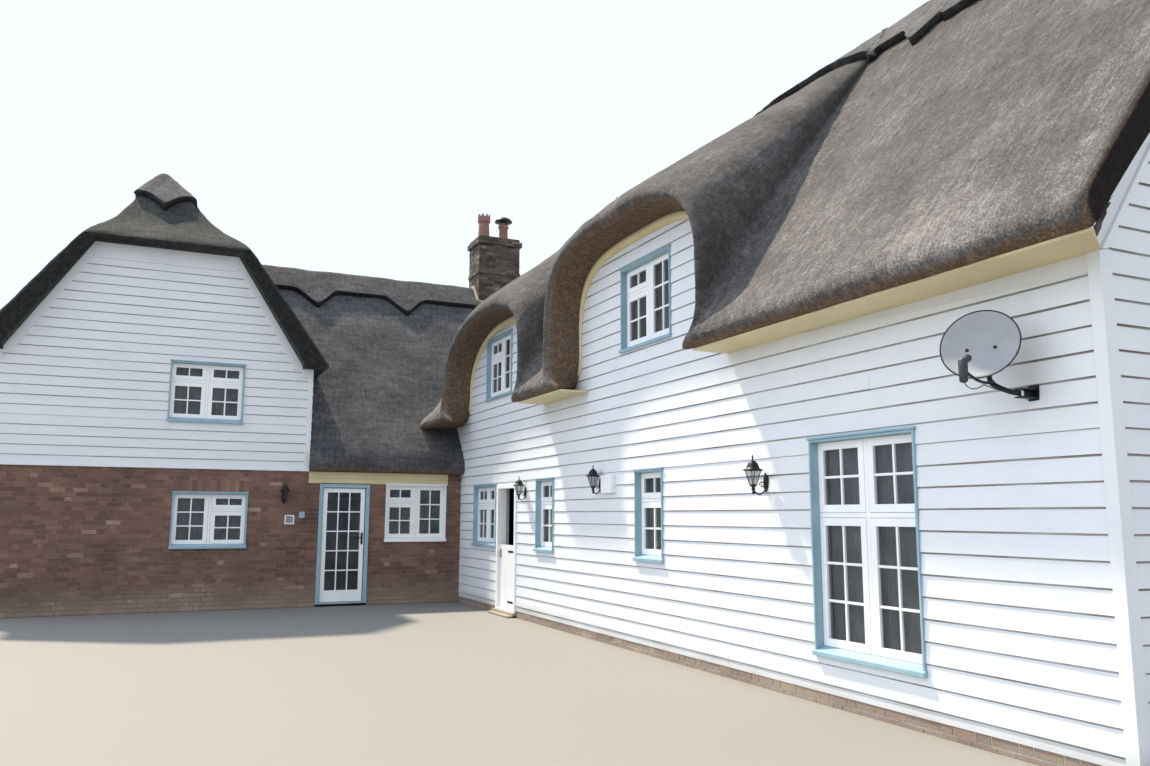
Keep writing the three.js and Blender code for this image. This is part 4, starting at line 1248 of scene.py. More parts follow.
@dataclass
class BackRangeRoof:
    """The low range's roof: its left end runs into the cross wing, its right end is hipped.

    Its front lower slope stops inside the right wing's thatch, and the hip stops at the wing's far
    gable.
    """

    ridge_y: float = RANGE_RIDGE_Y
    hip_x: float = 3.45
    gable_y: float = WING_FAR_Y
    split_x: float = 1.515
    gable_share: float = 0.25
    left_run: float = 2.3
    hip_run: float = 1.8
    end_columns: int = 99
    step: float = 0.062
    section: Section = field(default_factory=lambda: Section(
        3.41, 0.24, 2.38, 2.66, 6.9, 3.08, 2.44, 6.42))

    def left_edge(self, z: Array) -> Array:
        """Where the slope ends on the left: at the cheek wall, or a quarter metre into the thatch."""
        reach, ridge, rise, bury = 2.735, 8.08, 3.75, 0.25
        slope = CROSS_RIDGE_X + reach * (ridge - z) / rise
        return np.minimum(CROSS_RIGHT_X, slope - bury)

    def right_edge(self, z: Array) -> Array:
        """Where the front slope ends: in the court wall, or inside the right wing's thatch."""
        eave_x, eave_top, lean, in_wall = 0.62, 3.62, 0.814, 0.9
        return np.clip(eave_x + lean * (z - eave_top), in_wall, self.split_x)

    def slope(self, rows: Array, side: int, low: Array, high: Array, count: int) -> Grid:
        """A slope between two edges.

        Args:
            rows: (m, 2) distances from the ridge and heights.
            side: -1 at the front, +1 at the rear.
            low: (m,) x of each row's start.
            high: (m,) x of each row's end.
            count: faces along.

        Returns:
            The grid.
        """
        share = np.linspace(0, 1, count + 1)[:, None]
        x = low[None] * (1 - share) + high[None] * share
        y = np.broadcast_to(self.ridge_y + side * rows[:, 0], x.shape)
        z = np.broadcast_to(rows[:, 1], x.shape)
        step = np.linalg.norm(np.diff(rows, axis=0), axis=1)
        up = np.concatenate([[0], np.cumsum(step)])
        uv = np.stack([x, np.broadcast_to(up, x.shape)], axis=2)
        points = np.stack([x, y, z], axis=2)
        return Grid(points, uv, cut_values(points), give_values(points)).facing((0, side, 1))

    def build(self) -> None:
        """Builds the thatch."""
        control = self.section.control()
        flat = np.stack([np.zeros(5), control[:, 0], control[:, 1]], axis=1)[None].repeat(2, axis=0)
        shoulder_rise = self.section.ridge - self.section.eave_top
        edge = self.section.half + self.section.out - self.section.top_in
        gable_q = self.ridge_y - self.gable_y
        gable_z = self.section.ridge - shoulder_rise * gable_q / edge
        rows = slope_rows(flat, (gable_z,), self.step)[0][:, 1:]
        low, split = self.left_edge(rows[:, 1]), np.full(len(rows), self.split_x)
        arris = self.hip_x + rows[:, 0]
        upper = int(np.argmax(rows[:, 1] > gable_z - 0.004))
        count = round((self.split_x + self.left_run) / self.step)
        far_count = round((self.hip_x + self.hip_run - self.split_x) / self.step)
        front = self.slope(rows, -1, low, self.right_edge(rows[:, 1]), count)
        front_far = self.slope(rows, -1, split, arris, far_count)
        keep = slice(upper, None)
        front_far = Grid(front_far.points[:, keep], front_far.uv[:, keep],
                         np.zeros_like(front_far.cut[:, keep]), np.ones_like(front_far.give[:, keep]))
        rear = self.slope(rows, 1, low, split, count)
        rear_far = self.slope(rows, 1, split, arris, far_count)
        share = np.linspace(0, 1, self.end_columns + 1)[:, None]
        start = np.maximum(self.gable_y, self.ridge_y - rows[:, 0])
        y = start[None] * (1 - share) + (self.ridge_y + rows[:, 0])[None] * share
        end_points = np.stack([np.broadcast_to(arris, y.shape), y,
                               np.broadcast_to(rows[:, 1], y.shape)], axis=2)
        end_uv = np.stack([y, rear.uv[0, :, 1][None].repeat(len(share), axis=0)], axis=2)
        end = Grid(end_points, end_uv, cut_values(end_points), give_values(end_points))
        grids = [front, front_far, rear, rear_far, end.facing((1, 0, 1))]
        hollow = self.section.hollow()[1:]
        for side in (-1, 1):
            left = np.stack([np.full(3, CROSS_RIGHT_X), self.ridge_y + side * hollow[:, 0],
                             hollow[:, 1]], axis=1)
            lines = (front if side < 0 else rear).points[[0, -1]]
            outer = lines[int(np.argmin(lines[:, 0, 0]))]
            grids.append(band(outer, left, 4).facing((-1, 0, 0)))
        cut_end = end.points[0, :upper + 1]
        hollow[2] = hollow[1] + (hollow[2] - hollow[1]) * self.gable_share
        gable_hollow = np.stack([self.hip_x + hollow[:, 0], np.full(3, self.gable_y), hollow[:, 1]],
                                axis=1)
        grids.append(band(cut_end, gable_hollow, 4).facing((0, -1, 0)))
        mesh = thatch_mesh("back_range_reed", grids, 3, 37)
        finish_piece("back_range_reed", mesh, BACK_REED, stands_for=("back_range_thatch",), smooth=True)


# Walls: flat faces, blocks, boards and bricks


@dataclass(frozen=True)
class WallFace:
    """A wall's outer face. A place on it is u along the wall, w out from it and z up.

    faces is the axis that it looks along, at its place on that axis, and way its sense.
    """

    faces: str
    at: float
    way: int

    def place(self, points: Array) -> Array:
        """Turns (..., 3) places of u, w and z into the cottage's own."""
        u, w, z = points[..., 0], points[..., 1], points[..., 2]
        out = self.at + self.way * w
        return np.stack([out, u, z] if self.faces == "x" else [u, out, z], axis=-1)

    def turned(self) -> bool:
        """Whether place turns a solid inside out."""
        return (self.faces == "x") == (self.way > 0)


BLOCK_FACES = np.array([
    (0, 1, 3, 2), (4, 6, 7, 5), (0, 4, 5, 1), (2, 3, 7, 6), (0, 2, 6, 4), (1, 5, 7, 3)])


def tube_faces(count: int, sides: int) -> Array:
    """Returns the side faces of a tube whose rings turn anticlockwise about the way they run."""
    here = np.arange(sides)
    after = (here + 1) % sides
    row = (np.arange(count - 1) * sides)[:, None]
    return np.stack([row + here, row + after, row + sides + after, row + sides + here],
                    axis=2).reshape(-1, 4)


class Blocks:
    """Gathers closed blocks into one mesh, each with its own tone."""

    def __init__(self, wall: WallFace | None = None) -> None:
        """Starts empty.

        Args:
            wall: the face whose u, w and z the blocks are given in, or None for x, y and z.
        """
        self.wall = wall
        self.points: list[Array] = []
        self.faces: list[Array] = []
        self.tone: list[Array] = []
        self.grime_and_shade: list[Array] = []
        self.count = 0

    def solids(self, points: Array, groups: list[Array], tone: Array | float = 0.5,
               grime_and_shade: Array | float = 0.0) -> None:
        """Adds equal solids.

        Args:
            points: (n, k, 3) corners of n solids.
            groups: arrays of corner numbers, looking outwards while u, w and z are x, y and z.
            tone: a value for each solid.
            grime_and_shade: a value for each solid, or (n, f) for each face of the first group; it marks
                dirt, and on weatherboards painted lap shade.
        """
        number, corners = points.shape[:2]
        turned = self.wall is not None and self.wall.turned()
        if self.wall is not None:
            points = self.wall.place(points)
        start = self.count + np.arange(number)[:, None, None] * corners
        self.points.append(points.reshape(-1, 3))
        for faces in groups:
            ordered = faces[:, ::-1] if turned else faces
            self.faces.append((start + ordered[None]).reshape(-1, faces.shape[1]))
            shape = (number, len(faces))
            for kept, value in ((self.tone, tone), (self.grime_and_shade, grime_and_shade)):
                value = np.asarray(value, float)
                value = value[:, None] if value.ndim == 1 else value
                kept.append(np.broadcast_to(value, shape).ravel())
            grime_and_shade = np.zeros(1) if np.ndim(grime_and_shade) == 2 else grime_and_shade
        self.count += number * corners

    def boxes(self, low: Array, high: Array, tone: Array | float = 0.5,
              grime_and_shade: Array | float = 0.0) -> None:
        """Adds upright boxes between (n, 3) low and high corners."""
        low, high = np.atleast_2d(np.asarray(low, float)), np.atleast_2d(np.asarray(high, float))
        pick = np.array(list(itertools.product((0, 1), repeat=3)))
        points = np.where(pick[None, :, :], high[:, None], low[:, None])
        self.solids(points, [BLOCK_FACES], tone, grime_and_shade)

    def bar(self, u0: float, u1: float, w0: float, w1: float, z0: float, z1: float,
            tone: float = 0.5) -> None:
        """Adds one box by its limits."""
        self.boxes([[u0, w0, z0]], [[u1, w1, z1]], tone)

    def frame(self, hole: tuple, width: float, w0: float, w1: float) -> None:
        """Adds four bars just inside a hole: two upright, and two level between them."""
        u0, u1, z0, z1 = hole
        self.bar(u0, u0 + width, w0, w1, z0, z1)
        self.bar(u1 - width, u1, w0, w1, z0, z1)
        self.bar(u0 + width, u1 - width, w0, w1, z0, z0 + width)
        self.bar(u0 + width, u1 - width, w0, w1, z1 - width, z1)

    def extrude(self, profile: Array, u0: float, u1: float) -> None:
        """Carries a (k, 2) profile of w and z, anticlockwise, along u from u0 to u1."""
        rings = np.stack([np.column_stack([np.full(len(profile), u), profile]) for u in (u0, u1)])
        self.tube(rings, *rings.mean(axis=1))

    def rod(self, path: Array, radius: float | Array, sides: int = 8) -> None:
        """Adds a round bar along a path.

        Each point carries a circle square to the path there, whose axes come from the path's own
        direction and the upright, and both ends are closed by a centre point.

        Args:
            path: (k, 3) points.
            radius: one radius, or one for each point.
            sides: points round the bar.
        """
        path = np.asarray(path, float)
        forward = np.gradient(path, axis=0)
        forward /= np.linalg.norm(forward, axis=1, keepdims=True) + 1e-12
        mean = np.abs(forward).mean(axis=0)
        guide = np.eye(3)[int(np.argmin(mean))]
        first = np.cross(forward, guide)
        first /= np.linalg.norm(first, axis=1, keepdims=True)
        second = np.cross(forward, first)
        angle = np.arange(sides) * 2 * math.pi / sides
        reach = np.broadcast_to(radius, len(path))[:, None, None]
        ring = first[:, None] * np.cos(angle)[None, :, None] + second[:, None] * np.sin(angle)[None, :, None]
        body = path[:, None] + ring * reach
        self.tube(body, path[0], path[-1])

    def tube(self, rings: Array, first: Array, last: Array, tone: float = 0.5) -> None:
        """Adds a closed tube from (k, s, 3) rings that turn anticlockwise about the way they run.

        Args:
            rings: the rings.
            first: the centre that closes the first ring.
            last: the centre that closes the last ring.
            tone: the tube's tone.
        """
        count, sides = rings.shape[:2]
        points = np.concatenate([rings.reshape(-1, 3), first[None], last[None]])[None]
        here = np.arange(sides)
        after = (here + 1) % sides
        base, start = (count - 1) * sides, count * sides
        caps = np.concatenate([
            np.stack([np.full(sides, start), after, here], axis=1),
            np.stack([np.full(sides, start + 1), base + here, base + after], axis=1)])
        self.solids(points, [tube_faces(count, sides), caps], tone)

    def lathe(self, profile: Array, centre: tuple[float, float, float], sides: int = 24) -> None:
        """Turns (k, 2) radii and heights about the upright through a centre, from bottom to top."""
        angle = np.arange(sides) * 2 * math.pi / sides
        radius, height = np.asarray(profile, float).T
        rings = np.stack([
            centre[0] + radius[:, None] * np.cos(angle), centre[1] + radius[:, None] * np.sin(angle),
            centre[2] + height[:, None] * np.ones(sides)], axis=2)
        ends = np.array(centre) + np.array([[0, 0, height[0]], [0, 0, height[-1]]])
        self.tube(rings, *ends)

    def build(self, name: str, finish, body: Body = Body.HOUSE, stands_for: tuple[str, ...] = (),
              bevel: float = 0.0, smooth: bool = False):
        """Makes the gathered blocks a piece.

        Args:
            name: the piece's name.
            finish: its finish.
            body: what it moves with.
            stands_for: CAD nodes that it replaces.
            bevel: width of the chamfer on its edges, or zero.
            smooth: whether its faces are shaded smooth.

        Returns:
            The object.
        """
        order = sorted(range(len(self.faces)), key=lambda i: -self.faces[i].shape[1])
        values = {key: np.concatenate([kept[i] for i in order])
                  for key, kept in (("tone", self.tone), ("grime_and_shade", self.grime_and_shade))}
        mesh = build_mesh(name, np.concatenate(self.points), [self.faces[i] for i in order], values,
                          "FACE")
        piece = finish_piece(name, mesh, finish, body, stands_for, smooth)
        if bevel:
            chamfer = piece.modifiers.new("eased edges", "BEVEL")
            chamfer.width = bevel
            chamfer.segments = 1
            chamfer.limit_method = "ANGLE"
        return piece


def runs(inside: Array, along: Array) -> list[tuple[float, float]]:
    """Returns the stretches of along where inside is true."""
    padded = np.concatenate([[False], inside, [False]])
    change = np.flatnonzero(padded[1:] != padded[:-1])
    return [(float(along[a]), float(along[min(b, len(along)) - 1]))
            for a, b in zip(change[::2], change[1::2])]


@dataclass
class Boarding:
    """Feather-edged weatherboards nailed up a wall, each lapping the one below.

    A board's face leans from proud at its bottom edge to slim at the lap. Boards are cut at holes,
    at the rake of a gable or an arch, and butt end to end every few metres. top gives the height
    that the boards reach along the wall, as a polyline of u and z.
    """

    name: str
    wall: WallFace
    span: tuple[float, float]
    base: float
    first_edge: float
    exposure: float
    top: Array
    holes: tuple[tuple[float, float, float, float], ...] = ()
    proud: float = 0.015
    slim: float = 0.004
    # shade is the height of the darkened strip at each board's top: painted lap shade with some dirt
    shade: float = 0.014
    length: float = 5.2
    seed: int = 5
    pieces: int = 8
    sample: float = 0.004
    scrap: float = 0.01
    butt: float = 0.002
    offcut: float = 0.4
    foot: float = -0.004
    bow: float = 0.002
    droop: float = 0.0018

    def reach(self, z: float) -> list[tuple[float, float]]:
        """Returns the stretches of wall that rise above z."""
        along = np.arange(self.span[0], self.span[1] + self.sample, self.sample)
        along[-1] = self.span[1]
        height = np.interp(along, self.top[:, 0], self.top[:, 1])
        return runs(height > z, along)

    def strips(self, z0: float, z1: float) -> list[tuple[float, float, float, float]]:
        """Returns the board pieces between two heights as low and high u at bottom, then at top."""
        pieces = []
        above = self.reach(z1 - 1e-4)
        for b0, b1 in self.reach(z0 + 1e-4):
            over = [(t0, t1) for t0, t1 in above if t0 < b1 and t1 > b0]
            if not over:
                over = [((b0 + b1) / 2 - 0.05, (b0 + b1) / 2 + 0.05)]
            t0, t1 = over[0][0], over[-1][1]
            pieces.append((b0, b1, t0, t1))
        middle = (z0 + z1) / 2
        for h0, h1, low, high in self.holes:
            if low < middle < high:
                cut = []
                for b0, b1, t0, t1 in pieces:
                    if h1 <= b0 or h0 >= b1:
                        cut.append((b0, b1, t0, t1))
                        continue
                    cut += [(b0, h0, t0, h0)] if h0 - b0 > self.scrap else []
                    cut += [(h1, b1, h1, t1)] if b1 - h1 > self.scrap else []
                pieces = cut
        return pieces

    def build(self) -> None:
        """Builds the boards."""
        strips, lean, owner = [], [], []
        number = math.ceil((self.top[:, 1].max() - self.first_edge) / self.exposure)
        starts = draws(number, self.seed) * self.length
        for row in range(number):
            edge = self.first_edge + row * self.exposure
            marks = {max(self.base, edge), edge + self.exposure}
            marks |= {z for hole in self.holes for z in hole[2:] if edge < z < edge + self.exposure}
            marks = sorted(z for z in marks if z >= self.base)
            butts = np.arange(self.span[0] + starts[row], self.span[1], self.length)
            for z0, z1 in zip(marks[:-1], marks[1:]):
                for b0, b1, t0, t1 in self.strips(z0, z1):
                    joints = [x for x in butts
                              if max(b0, t0) + self.offcut < x < min(b1, t1) - self.offcut]
                    lows = [(b0, t0)] + [(x, x) for x in joints]
                    highs = [(x - self.butt, x - self.butt) for x in joints] + [(b1, t1)]
                    for (lb, lt), (hb, ht) in zip(lows, highs):
                        strips.append((lb, hb, lt, ht, z0, z1))
                        lean.append([(z - edge) / self.exposure for z in (z0, z1)])
                        owner.append(row * 7 + int(np.searchsorted(butts, lb + 0.01)))
        self.lay(np.array(strips), np.array(lean), np.array(owner))

    def lay(self, data: Array, lean: Array, owner: Array) -> None:
        """Turns the strips into wedge-shaped boards that wander a little along their length.

        A board's section runs from its back foot to its front foot, up its face to a strip
        under the next lap, and back. The underside and that strip take the grime colour: painted shade of
        the lap, with some dirt.
        """
        count = len(data)
        share = np.linspace(0, 1, self.pieces + 1)[None, :]
        low = data[:, 0, None] * (1 - share) + data[:, 1, None] * share
        high = data[:, 2, None] * (1 - share) + data[:, 3, None] * share
        out = self.proud * (1 - lean) + self.slim * lean
        seeds = np.stack([low.ravel(), np.repeat(owner, self.pieces + 1) * 3.7,
                          np.zeros(low.size)], axis=1)
        wander = lattice_noise(seeds, 0.7, self.seed).reshape(low.shape)
        drop = np.where(lean[:, :1] < 0.02, self.droop, 0.0) * wander
        w0 = out[:, :1] + self.bow * wander * (1 - lean[:, :1])
        w1 = np.broadcast_to(out[:, 1:], low.shape)
        z0, z1 = data[:, 4, None] + drop, np.broadcast_to(data[:, 5, None], low.shape)
        up = 1 - np.minimum(self.shade / (z1 - z0), 0.3)
        points = np.stack([
            np.stack([low, np.full(low.shape, self.foot), z0], axis=2),
            np.stack([low, w0, z0], axis=2),
            np.stack([low + (high - low) * up, w0 + (w1 - w0) * up, z0 + (z1 - z0) * up], axis=2),
            np.stack([high, w1, z1], axis=2)], axis=2).reshape(count, -1, 3)
        end = self.pieces * 4
        faces = np.concatenate([
            tube_faces(self.pieces + 1, 4), [[3, 2, 1, 0]], [[end, end + 1, end + 2, end + 3]]])
        # Undersides, and the top strip of each whole board, take the grime colour: painted lap shade with
        # some dirt
        lap = np.zeros((count, len(faces)))
        lap[:, 0:end:4] = 1.0
        lap[:, 2:end:4] = np.where(lean[:, 1:] > 0.98, 1.0, 0.0)
        tone = draws(int(owner.max()) + 1, self.seed + 1)[owner]
        blocks = Blocks(self.wall)
        blocks.solids(points, [faces], tone, lap)
        blocks.build(self.name, WHITE_BOARD_PAINT)


PALE_BRICKS = 0.018
PALE_TONE = 1.25


@dataclass
class Brickwork:
    """Bricks in Flemish bond, each standing a few millimetres proud of its mortar.

    A course is 75 mm: 65 of brick and 10 of joint. Stretchers of 215 mm and headers of 102.5 mm
    take turns, and each course is shifted so that a header sits over the middle of a stretcher.
    """

    name: str
    wall: WallFace
    span: tuple[float, float]
    heights: tuple[float, float]
    holes: tuple[tuple[float, float, float, float], ...] = ()
    finish: Mottled = BRICK
    seed: int = 3
    proud: tuple[float, float] = (0.002, 0.007)
    lintels: bool = True
    stretcher: float = 0.215
    header: float = 0.1025
    joint: float = 0.01
    course: float = 0.075
    soldier: float = 0.225
    head_room: float = 0.15
    root: float = -0.006
    thinnest: float = 0.012
    shortest: float = 0.018

    def build(self) -> None:
        """Builds the bricks."""
        blocks = Blocks(self.wall)
        self.lay(blocks)
        blocks.build(self.name, self.finish)

    def lay(self, blocks: Blocks) -> None:
        """Lays the courses into blocks."""
        stretcher, joint, course = self.stretcher, self.joint, self.course
        period = stretcher + self.header + 2 * joint
        lows, highs = [], []
        foot, head = self.heights
        arched = [hole for hole in self.holes if self.lintels and hole[3] < head - self.head_room]
        holes = [(*hole[:3], hole[3] + self.soldier if hole in arched else hole[3])
                 for hole in self.holes]
        for row in range(math.ceil((head - foot) / course)):
            bed = foot + row * course + joint
            z0, z1 = max(bed, 0.0), min(bed + course - joint, head)
            if z1 - z0 < self.thinnest:
                continue
            start = self.span[0] - period * (1 + 0.5 * (row % 2))
            number = math.ceil((self.span[1] - start) / period) + 1
            first = start + np.arange(number) * period
            low = np.concatenate([first, first + stretcher + joint])
            high = np.concatenate([first + stretcher, first + period - joint])
            free = [self.span]
            for h0, h1, bottom, top in holes:
                if bottom < (z0 + z1) / 2 < top:
                    free = [part for a, b in free for part in ((a, min(b, h0)), (max(a, h1), b))
                            if part[1] - part[0] > 0.02]
            for a, b in free:
                left, right = np.maximum(low, a), np.minimum(high, b)
                keep = right - left > self.shortest
                count = int(keep.sum())
                lows.append(np.stack([left[keep], np.full(count, z0)], axis=1))
                highs.append(np.stack([right[keep], np.full(count, z1)], axis=1))
        for h0, h1, _, top in arched:
            number = round((h1 - h0) / course)
            edges = np.linspace(h0, h1, number + 1)
            cap = min(top + self.soldier - joint, head)
            lows.append(np.stack([edges[:-1] + joint / 2, np.full(number, top + 0.004)], axis=1))
            highs.append(np.stack([edges[1:] - joint / 2, np.full(number, cap)], axis=1))
        low, high = np.concatenate(lows), np.concatenate(highs)
        count = len(low)
        out = self.proud[0] + (self.proud[1] - self.proud[0]) * draws(count, self.seed)
        places = np.stack([low[:, 0], np.full(count, self.root), low[:, 1]], axis=1)
        ends = np.stack([high[:, 0], out, high[:, 1]], axis=1)
        pale = draws(count, self.seed + 2) > 1 - PALE_BRICKS
        blocks.boxes(places, ends, np.where(pale, PALE_TONE, draws(count, self.seed + 1) * 0.9), 0.0)


# Joinery


@dataclass(frozen=True)
class Sash:
    """One glazed leaf of a window: its limits and how many panes it has across and up."""

    low: float
    high: float
    bottom: float
    top: float
    columns: int
    rows: int


class Layout(Enum):
    """How a window's two lights are divided, from left to right as seen from outside."""

    VENT_LEFT = "vent over casement, then a tall casement"
    VENT_RIGHT = "tall casement, then a vent over casement"
    VENT_BOTH = "two vents over casements"
    SINGLE = "one vent over a casement"
    TALL = "two vents of two by two over casements of two by three"


@dataclass
class Casement:
    """A timber window: pale blue box frame and sill, white sashes, glazing bars, glass, curtains.

    hole gives low and high u, then low and high z.
    """

    name: str
    wall: WallFace
    hole: tuple[float, float, float, float]
    layout: Layout
    nodes: tuple[str, ...]
    vent_share: float = 0.32
    frame_finish: Mottled = PALE_BLUE
    frame_width: float = 0.022
    frame_out: float = 0.03
    frame_back: float = 0.13
    sill_out: float = 0.05
    sill_rise: float = 0.055
    horn: float = 0.012
    sash_out: float = -0.055
    sash_depth: float = 0.042
    stile: float = 0.068
    bar: float = 0.022
    post: float = 0.04
    join: float = 0.003
    rebate: float = 0.004
    jamb_back: float = 0.03
    curtain_gap: float = 0.045
    fold: float = 0.062
    fold_step: float = 0.0075

    def halves(self) -> list[tuple[float, float]]:
        """Returns the limits of the two lights, the left one as seen from outside first."""
        u0, u1 = self.hole[0] + self.frame_width, self.hole[1] - self.frame_width
        middle = (u0 + u1) / 2
        halves = [(u0, middle - self.post / 2), (middle + self.post / 2, u1)]
        return halves if self.wall.turned() else halves[::-1]

    def vented(self, low: float, high: float, rows: int, vents: int) -> list[Sash]:
        """Returns a vent of vents rows over a casement of rows rows."""
        z0, z1 = self.hole[2] + self.sill_rise, self.hole[3] - self.frame_width
        split = z1 - (z1 - z0) * self.vent_share
        return [Sash(low, high, split + self.post / 2, z1, 2, vents),
                Sash(low, high, z0, split - self.post / 2, 2, rows)]

    def tall(self, low: float, high: float) -> list[Sash]:
        """Returns one casement of full height."""
        return [Sash(low, high, self.hole[2] + self.sill_rise, self.hole[3] - self.frame_width, 2, 3)]

    def sashes(self) -> list[Sash]:
        """Works out the leaves."""
        left, right = self.halves()
        if self.layout is Layout.SINGLE:
            return self.vented(min(left + right), max(left + right), 2, 1)
        if self.layout is Layout.TALL:
            return self.vented(*left, 3, 2) + self.vented(*right, 3, 2)
        if self.layout is Layout.VENT_BOTH:
            return self.vented(*left, 2, 1) + self.vented(*right, 2, 1)
        if self.layout is Layout.VENT_RIGHT:
            return self.tall(*left) + self.vented(*right, 2, 1)
        return self.vented(*left, 2, 1) + self.tall(*right)

    def build(self) -> None:
        """Builds the frame, the sashes, the glass and the curtains."""
        u0, u1, z0, z1 = self.hole
        frame_bars = Blocks(self.wall)
        frame_bars.frame(self.hole, self.frame_width, -self.frame_back, self.frame_out)
        left, right = u0 - self.horn, u1 + self.horn
        sill = np.array([(-self.frame_back, z0 - 0.012), (self.sill_out, z0 - 0.02),
                         (self.sill_out, z0 + 0.018), (self.sash_out, z0 + self.sill_rise),
                         (-self.frame_back, z0 + self.sill_rise)])
        frame_bars.extrude(sill, left, right)
        frame_bars.bar(left, right, 0.0, self.frame_out + 0.012, z1 + 0.001, z1 + 0.022)
        frame_bars.build(f"{self.name}_frame", self.frame_finish, stands_for=self.nodes, bevel=0.003)
        white, glass = Blocks(self.wall), Blocks(self.wall)
        back = self.sash_out - self.sash_depth
        sashes = self.sashes()
        for sash in sashes:
            hole = (sash.low + self.join, sash.high - self.join, sash.bottom + self.join,
                    sash.top - self.join)
            white.frame(hole, self.stile, back, self.sash_out)
            a, b, c, d = (limit + way * self.stile for limit, way in zip(hole, (1, -1, 1, -1)))
            for u in np.linspace(a, b, sash.columns + 1)[1:-1]:
                white.bar(u - self.bar / 2, u + self.bar / 2, back + 0.006, self.sash_out - 0.006, c, d)
            for z in np.linspace(c, d, sash.rows + 1)[1:-1]:
                white.bar(a, b, back + 0.007, self.sash_out - 0.007, z - self.bar / 2, z + self.bar / 2)
            glass.bar(a - self.rebate, b + self.rebate, back + 0.014, back + 0.018, c - self.rebate,
                      d + self.rebate)
        rear, front = back - self.jamb_back, self.sash_out - 0.002
        white.frame((u0 + 0.01, u1 - 0.01, z0 + 0.02, z1 - 0.01), 0.06, rear, self.sash_out - 0.02)
        if self.layout is not Layout.SINGLE:
            middle = (u0 + u1) / 2
            white.bar(middle - self.post / 2, middle + self.post / 2, rear, front,
                      z0 + self.sill_rise, z1 - self.frame_width)
        for upper, lower in zip(sashes[:-1], sashes[1:]):
            if upper.low == lower.low:
                white.bar(upper.low, upper.high, rear, front, lower.top, upper.bottom)
        white.build(f"{self.name}_sashes", WHITE_TRIM, bevel=0.002)
        glass.build(f"{self.name}_glass", PANE)
        self.hang(back - self.curtain_gap)

    def hang(self, w: float) -> None:
        """Hangs a pair of net curtains, gathered in even folds, behind the sashes.

        Across the window a fold is a sine that grows from top to hem, with a slower sine that makes
        some folds deeper.

        Args:
            w: the place of the folds' middle.
        """
        u0, u1, z0, z1 = self.hole
        u0, u1 = u0 + self.curtain_gap, u1 - self.curtain_gap
        width = (u1 - u0) / 2
        phase = (abs(u0) * 7.3) % 3
        for number, (a, b) in enumerate(((u0, u0 + width), (u1 - width, u1))):
            u = np.linspace(a, b, max(12, round((b - a) / self.fold_step)))
            z = np.linspace(z0 + 0.05, z1 - self.curtain_gap, 16)
            uu, zz = np.meshgrid(u, z, indexing="ij")
            drop = (z1 - zz) / (z1 - z0)
            depth = 0.009 + 0.008 * drop
            fold = np.sin(uu * 2 * math.pi / self.fold + phase + 0.5 * np.sin(uu * 19) + 0.25 * drop)
            slow = 0.6 + 0.4 * np.sin(uu * 11 + phase)
            points = np.stack([uu, w + depth * fold * slow, zz], axis=2)
            hung = self.wall.place(points)
            mesh = build_mesh(f"{self.name}_curtain_{number + 1}", hung.reshape(-1, 3),
                              [quads(*hung.shape[:2])])
            piece = finish_piece(mesh.name, mesh, NET, smooth=True)


# The cottage's own walls

COURT = WallFace("x", COURT_X, -1)
GARDEN = WallFace("x", GARDEN_X, 1)
NEAR_GABLE = WallFace("y", NEAR_Y, -1)
FAR_GABLE = WallFace("y", WING_FAR_Y, 1)
BACK_FRONT = WallFace("y", FRONT_Y, -1)
BACK_REAR = WallFace("y", REAR_Y, 1)
CROSS_SIDE = WallFace("x", CROSS_LEFT_X, -1)
CROSS_CHEEK = WallFace("x", CROSS_RIGHT_X, 1)

BIG_WINDOW = (-8.39, -7.12, 0.43, 2.285)
NARROW_WINDOW = (-4.47, -3.8, 1.09, 2.15)
MIDDLE_WINDOW = (-1.27, -0.6, 1.09, 2.15)
STABLE_DOOR = (0.25, 1.15, 0.07, 2.12)
DOOR_WINDOW = (1.22, 2.4, 1.09, 2.13)
NEAR_DORMER_WINDOW = (-4.7, -3.45, 3.69, 4.76)
FAR_DORMER_WINDOW = (0.53, 1.8, 3.65, 4.72)
CROSS_LOW_WINDOW = (-4.27, -3.06, 1.05, 1.97)
CROSS_HIGH_WINDOW = (-4.43, -3.22, 3.19, 4.21)
GARDEN_DOOR = (-1.85, -0.95, 0.04, 2.16)
RANGE_WINDOW = (-0.65, 0.5, 1.14, 2.169)
GARDEN_ROW = ((-8.39, -7.12, 1.09, 2.13), (-4.77, -3.5, 1.09, 2.13), (0.165, 1.435, 1.09, 2.13))
GABLE_LOW_WINDOW = (3.2, 4.46, 1.09, 2.13)
GABLE_HIGH_WINDOW = (3.2, 4.46, 3.69, 4.76)
REAR_ROW = ((-5.205, -3.945, 1.09, 2.05), (-0.4, 0.86, 1.09, 2.05), (3.9, 5.16, 1.09, 2.05))
REAR_GABLE_WINDOW = (-5.205, -3.945, 3.19, 4.21)
SIDE_LOW_ROW = ((4.6, 5.8, 1.09, 2.01), (7.5, 8.7, 1.09, 2.01))
SIDE_HIGH_ROW = ((4.6, 5.8, 3.0, 3.9), (7.5, 8.7, 3.0, 3.9))

